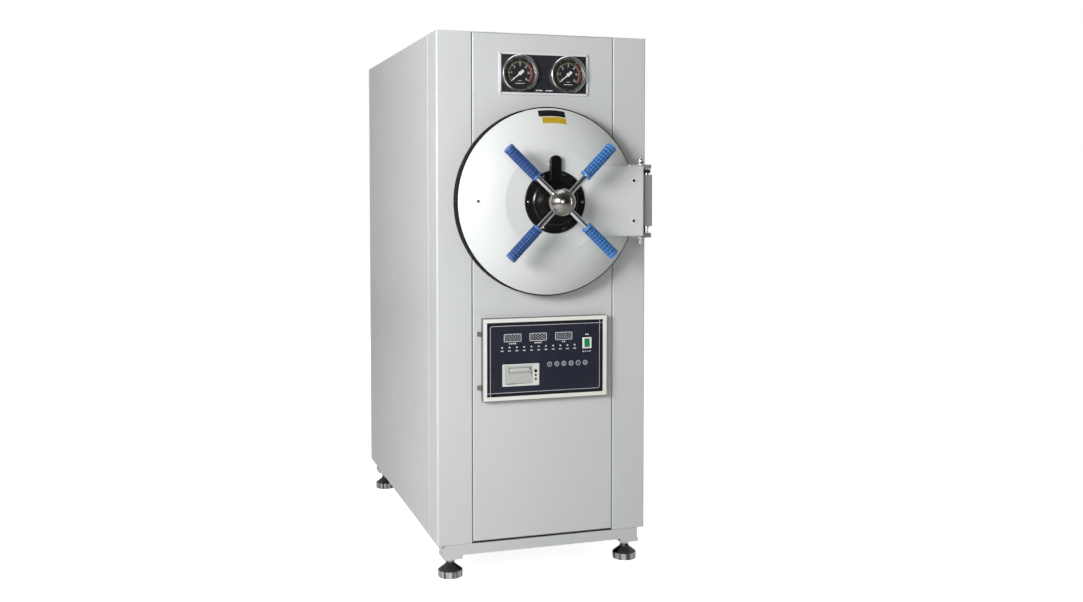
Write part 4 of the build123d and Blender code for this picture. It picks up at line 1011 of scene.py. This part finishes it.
def printer_details():
    """Ribs, keys, slot, paper and tear line of the printer."""
    low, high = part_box("printer_body")
    cover_low, cover_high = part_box("printer_cover")
    y = low.y
    ribs = bmesh.new()
    for offset in (3.0, 5.6):
        bar(ribs, low.x + (offset - 0.4) * MM, low.x + (offset + 0.4) * MM, low.z + 5 * MM, high.z - 5 * MM,
            y - 0.35 * MM, y + 0.3 * MM)
    piece("printer_ribs", ribs, "cream_plastic", "panel_door")
    column_x = high.x - 11 * MM
    section = [(3.4 * MM, -0.3 * MM), (4.9 * MM, -0.3 * MM), (4.9 * MM, 0.4 * MM), (3.4 * MM, 0.4 * MM),
               (3.4 * MM, -0.3 * MM)]
    ring = lathe(bmesh.new(), section, (column_x, y, high.z - 23 * MM), steps=32)
    piece("printer_key_ring", ring, "ink_dark", "panel_door")
    section = [(3.5 * MM, 0.4 * MM), (3.5 * MM, -0.5 * MM), (2.8 * MM, -0.9 * MM), (0, -1.0 * MM)]
    for index, offset in enumerate((36, 48)):
        dot = lathe(bmesh.new(), section, (column_x, y, high.z - offset * MM), steps=32)
        piece(f"printer_key_{index + 1}", dot, "ink_dark", "panel_door")
    slot_x0, slot_x1 = SLOT_X
    # Dark sheet behind the slot: painted shade of the slot's inside.
    back = bar(bmesh.new(), slot_x0, slot_x1, *SLOT_Z, cover_high.y - 0.5 * MM, cover_high.y)
    piece("paper_slot_painted_shade", back, "ink_dark", "paper_flap")
    paper = bmesh.new()
    rows = 12
    lines = []
    for row in range(rows + 1):
        share = row / rows
        bulge = math.sin(share * math.pi) * 1.8 * MM
        depth = cover_low.y + 0.6 * MM - bulge
        height = (637.6 - 12.8 * share) * MM
        right = slot_x1 + (6.0 * share - 4.0) * MM
        lines.append([paper.verts.new((x, depth, height)) for x in (slot_x0 + 1 * MM, right)])
    for first, second in zip(lines, lines[1:]):
        paper.faces.new([first[0], first[1], second[1], second[0]])
    bmesh.ops.solidify(paper, geom=paper.faces[:], thickness=0.12 * MM)
    piece("printer_paper", paper, "paper", "paper_flap")
    guide = bar(bmesh.new(), slot_x0, slot_x1, 619.2 * MM, 623.6 * MM,
                cover_low.y + 0.1 * MM, cover_high.y - 0.6 * MM)
    piece("paper_guide", guide, "flap_plastic", "paper_flap")
    edge = bmesh.new()
    corners = [(slot_x1 - 3.4 * MM, 641.5 * MM), (slot_x1 - 1.6 * MM, 641.5 * MM),
               (cover_high.x - 0.6 * MM, 615 * MM), (cover_high.x - 2.4 * MM, 615 * MM)]
    slab(edge, corners, cover_low.y - 0.3 * MM, cover_low.y + 0.4 * MM)
    piece("printer_tear_line", edge, "ink_dark", "paper_flap")
    mark = bar(bmesh.new(), low.x + 14 * MM, low.x + 42 * MM, low.z + 6 * MM, low.z + 7.4 * MM,
               y - 0.1 * MM, y + 0.1 * MM)
    piece("printer_mark", mark, "ink_dark", "panel_door")


def control_panel():
    """Everything printed on or let into the control panel's face."""
    panel_line()
    for number, x in enumerate(DISPLAY_XS, start=1):
        display(number, x, DISPLAY_Z, 55 * MM, 24 * MM)
    lamps()
    for number in range(1, 7):
        key_mark(number)
    captions = []
    for x, count in zip(DISPLAY_XS, (4, 4, 2)):
        for index in range(count):
            offset = 6 * MM * (index - (count - 1) / 2)
            captions.append((x + offset, FACE_LOW.z + 160 * MM, 3.6 * MM, 3.6 * MM))
    switch_low, switch_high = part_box("switch_body")
    middle = (switch_low.x + switch_high.x) / 2
    for offset in (-3, 3):
        captions.append((middle + offset * MM, switch_high.z + 9 * MM, 3.8 * MM, 3.6 * MM))
    for offset in (-12, -5, 3, 10):
        captions.append((middle + offset * MM, switch_low.z - 9 * MM, 3.2 * MM, 3.0 * MM))
    legend_bars("panel_captions", captions)
    printer_details()


# ------------------------------------------------------------------ base

def front_gap_painted_shade():
    """Dark strip in the gap under the front panel: painted shade of the gap."""
    low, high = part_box("front_panels")
    strip = bar(bmesh.new(), low.x + 1 * MM, high.x - 1 * MM, low.z - 4.8 * MM, low.z - 0.3 * MM,
                FRONT_Y + 1.2 * MM, FRONT_Y + 2.8 * MM)
    piece("front_gap_painted_shade", strip, "ink_dark", "cabinet")


def rail_caps():
    """Plates that close the ends of the two cross rails of the base."""
    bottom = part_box("cabinet_frame")[0].z + 15 * MM
    for name, y0 in RAIL_YS.items():
        for side, x0 in (("left", -RAIL_END_X), ("right", RAIL_END_X - 2 * MM)):
            cap = bar(bmesh.new(), x0, x0 + 2 * MM, bottom, bottom + 26 * MM, y0, y0 + 54 * MM)
            piece(f"rail_cap_{name}_{side}", cap, "frame_paint", "cabinet")


# ------------------------------------------------------------------ studio

def area_light(name, place, target, size, power, size_y=None):
    light = bpy.data.lights.new(name, "AREA")
    light.energy = power
    light.size = size
    if size_y:
        light.shape = "RECTANGLE"
        light.size_y = size_y
    obj = bpy.data.objects.new(name, light)
    bpy.context.scene.collection.objects.link(obj)
    obj.location = place
    obj.rotation_euler = (Vector(target) - Vector(place)).to_track_quat("-Z", "Y").to_euler()


def around(azimuth, height, distance):
    """Place about the middle of the cabinet's front; azimuth in degrees to the left of straight ahead."""
    angle = math.radians(azimuth)
    return -distance * math.sin(angle), FRONT_Y - distance * math.cos(angle), height


def studio():
    """Soft lights round the front, and a world that is brighter behind than in front."""
    scene = bpy.context.scene
    scene.view_settings.view_transform = "Standard"
    target = (0, FRONT_Y, 0.95)
    area_light("key", around(53, 1.85, 3.3), target, 1.4, 132.0, size_y=0.9)
    area_light("front", around(14, 1.35, 3.4), target, 1.3, 17.0, size_y=1.0)
    area_light("window", around(84, 1.6, 2.6), (0, FRONT_Y + 0.2, 1.1), 0.9, 3.0, size_y=1.2)
    area_light("strip", around(-62, 1.3, 2.6), (0, FRONT_Y, 1.1), 0.25, 7.0, size_y=1.8)
    area_light("top", (-0.4, 0.1, 4.4), (0, 0.1, 0.8), 2.6, 30.0)
    area_light("rear", (1.2, 4.6, 2.4), (0, 0.6, 0.9), 3.0, 46.0)
    world = bpy.data.worlds.new("studio")
    scene.world = world
    world.use_nodes = True
    tree = world.node_tree
    sky = tree.nodes["Background"]
    sky.inputs["Color"].default_value = (1.0, 1.0, 1.0, 1.0)
    way = tree.nodes.new("ShaderNodeTexCoord")
    split = tree.nodes.new("ShaderNodeSeparateXYZ")
    tree.links.new(way.outputs["Generated"], split.inputs[0])
    fade = tree.nodes.new("ShaderNodeMapRange")
    for name, value in (("From Min", -0.85), ("From Max", 0.2), ("To Min", 0.04), ("To Max", 0.30)):
        fade.inputs[name].default_value = value
    tree.links.new(split.outputs[1], fade.inputs["Value"])
    tree.links.new(fade.outputs["Result"], sky.inputs["Strength"])
    plain = tree.nodes.new("ShaderNodeBackground")
    plain.inputs["Color"].default_value = (1.0, 1.0, 1.0, 1.0)
    plain.inputs["Strength"].default_value = 1.0
    path = tree.nodes.new("ShaderNodeLightPath")
    mix = tree.nodes.new("ShaderNodeMixShader")
    tree.links.new(path.outputs["Is Camera Ray"], mix.inputs["Fac"])
    tree.links.new(sky.outputs[0], mix.inputs[1])
    tree.links.new(plain.outputs[0], mix.inputs[2])
    tree.links.new(mix.outputs[0], tree.nodes["World Output"].inputs["Surface"])


def floor():
    """Pale floor that the camera sees as plain white."""
    mesh = bpy.data.meshes.new("floor")
    reach = 9.0
    corners = [(-reach, -reach, 0), (reach, -reach, 0), (reach, reach, 0), (-reach, reach, 0)]
    mesh.from_pydata(corners, [], [(0, 1, 2, 3)])
    s = Shader("floor_pale", roughness=0.7)
    s.set("Base Color", s.clouded(1.5, 2.0, (0.60, 0.60, 0.60), (0.57, 0.57, 0.57)))
    s.set("Specular IOR Level", 0.1)
    s.set("Emission Color", (1.0, 1.0, 1.0))
    seen = s.add("ShaderNodeLightPath").outputs["Is Camera Ray"]
    s.set("Emission Strength", s.math("MULTIPLY", seen, 0.92))
    mesh.materials.append(s.material)
    obj = bpy.data.objects.new("floor", mesh)
    bpy.context.scene.collection.objects.link(obj)


def camera():
    """Camera a little above the door's axis, to the left of the cabinet."""
    data = bpy.data.cameras.new("camera")
    data.sensor_width = 36.0
    data.lens = CAMERA_LENS
    data.shift_y = CAMERA_SHIFT
    obj = bpy.data.objects.new("camera", data)
    bpy.context.scene.collection.objects.link(obj)
    obj.location = CAMERA_PLACE
    obj.rotation_euler = (math.radians(90 - CAMERA_DOWN), 0, math.radians(CAMERA_YAW))
    bpy.context.scene.camera = obj


camera()
dress_cad_nodes()
gauge_group()
cover_label("cover_plate_black", -37 * MM, 47 * MM, 256 * MM, 274.5 * MM, "plate_black")
cover_label("cover_plate_yellow", -28.5 * MM, 46 * MM, 235 * MM, 253.5 * MM, "plate_yellow")
cover_screws()
hub_screws()
hinge_collar()
hinge_nuts()
lug_screw()
handwheel()
control_panel()
front_gap_painted_shade()
rail_caps()
floor()
studio()
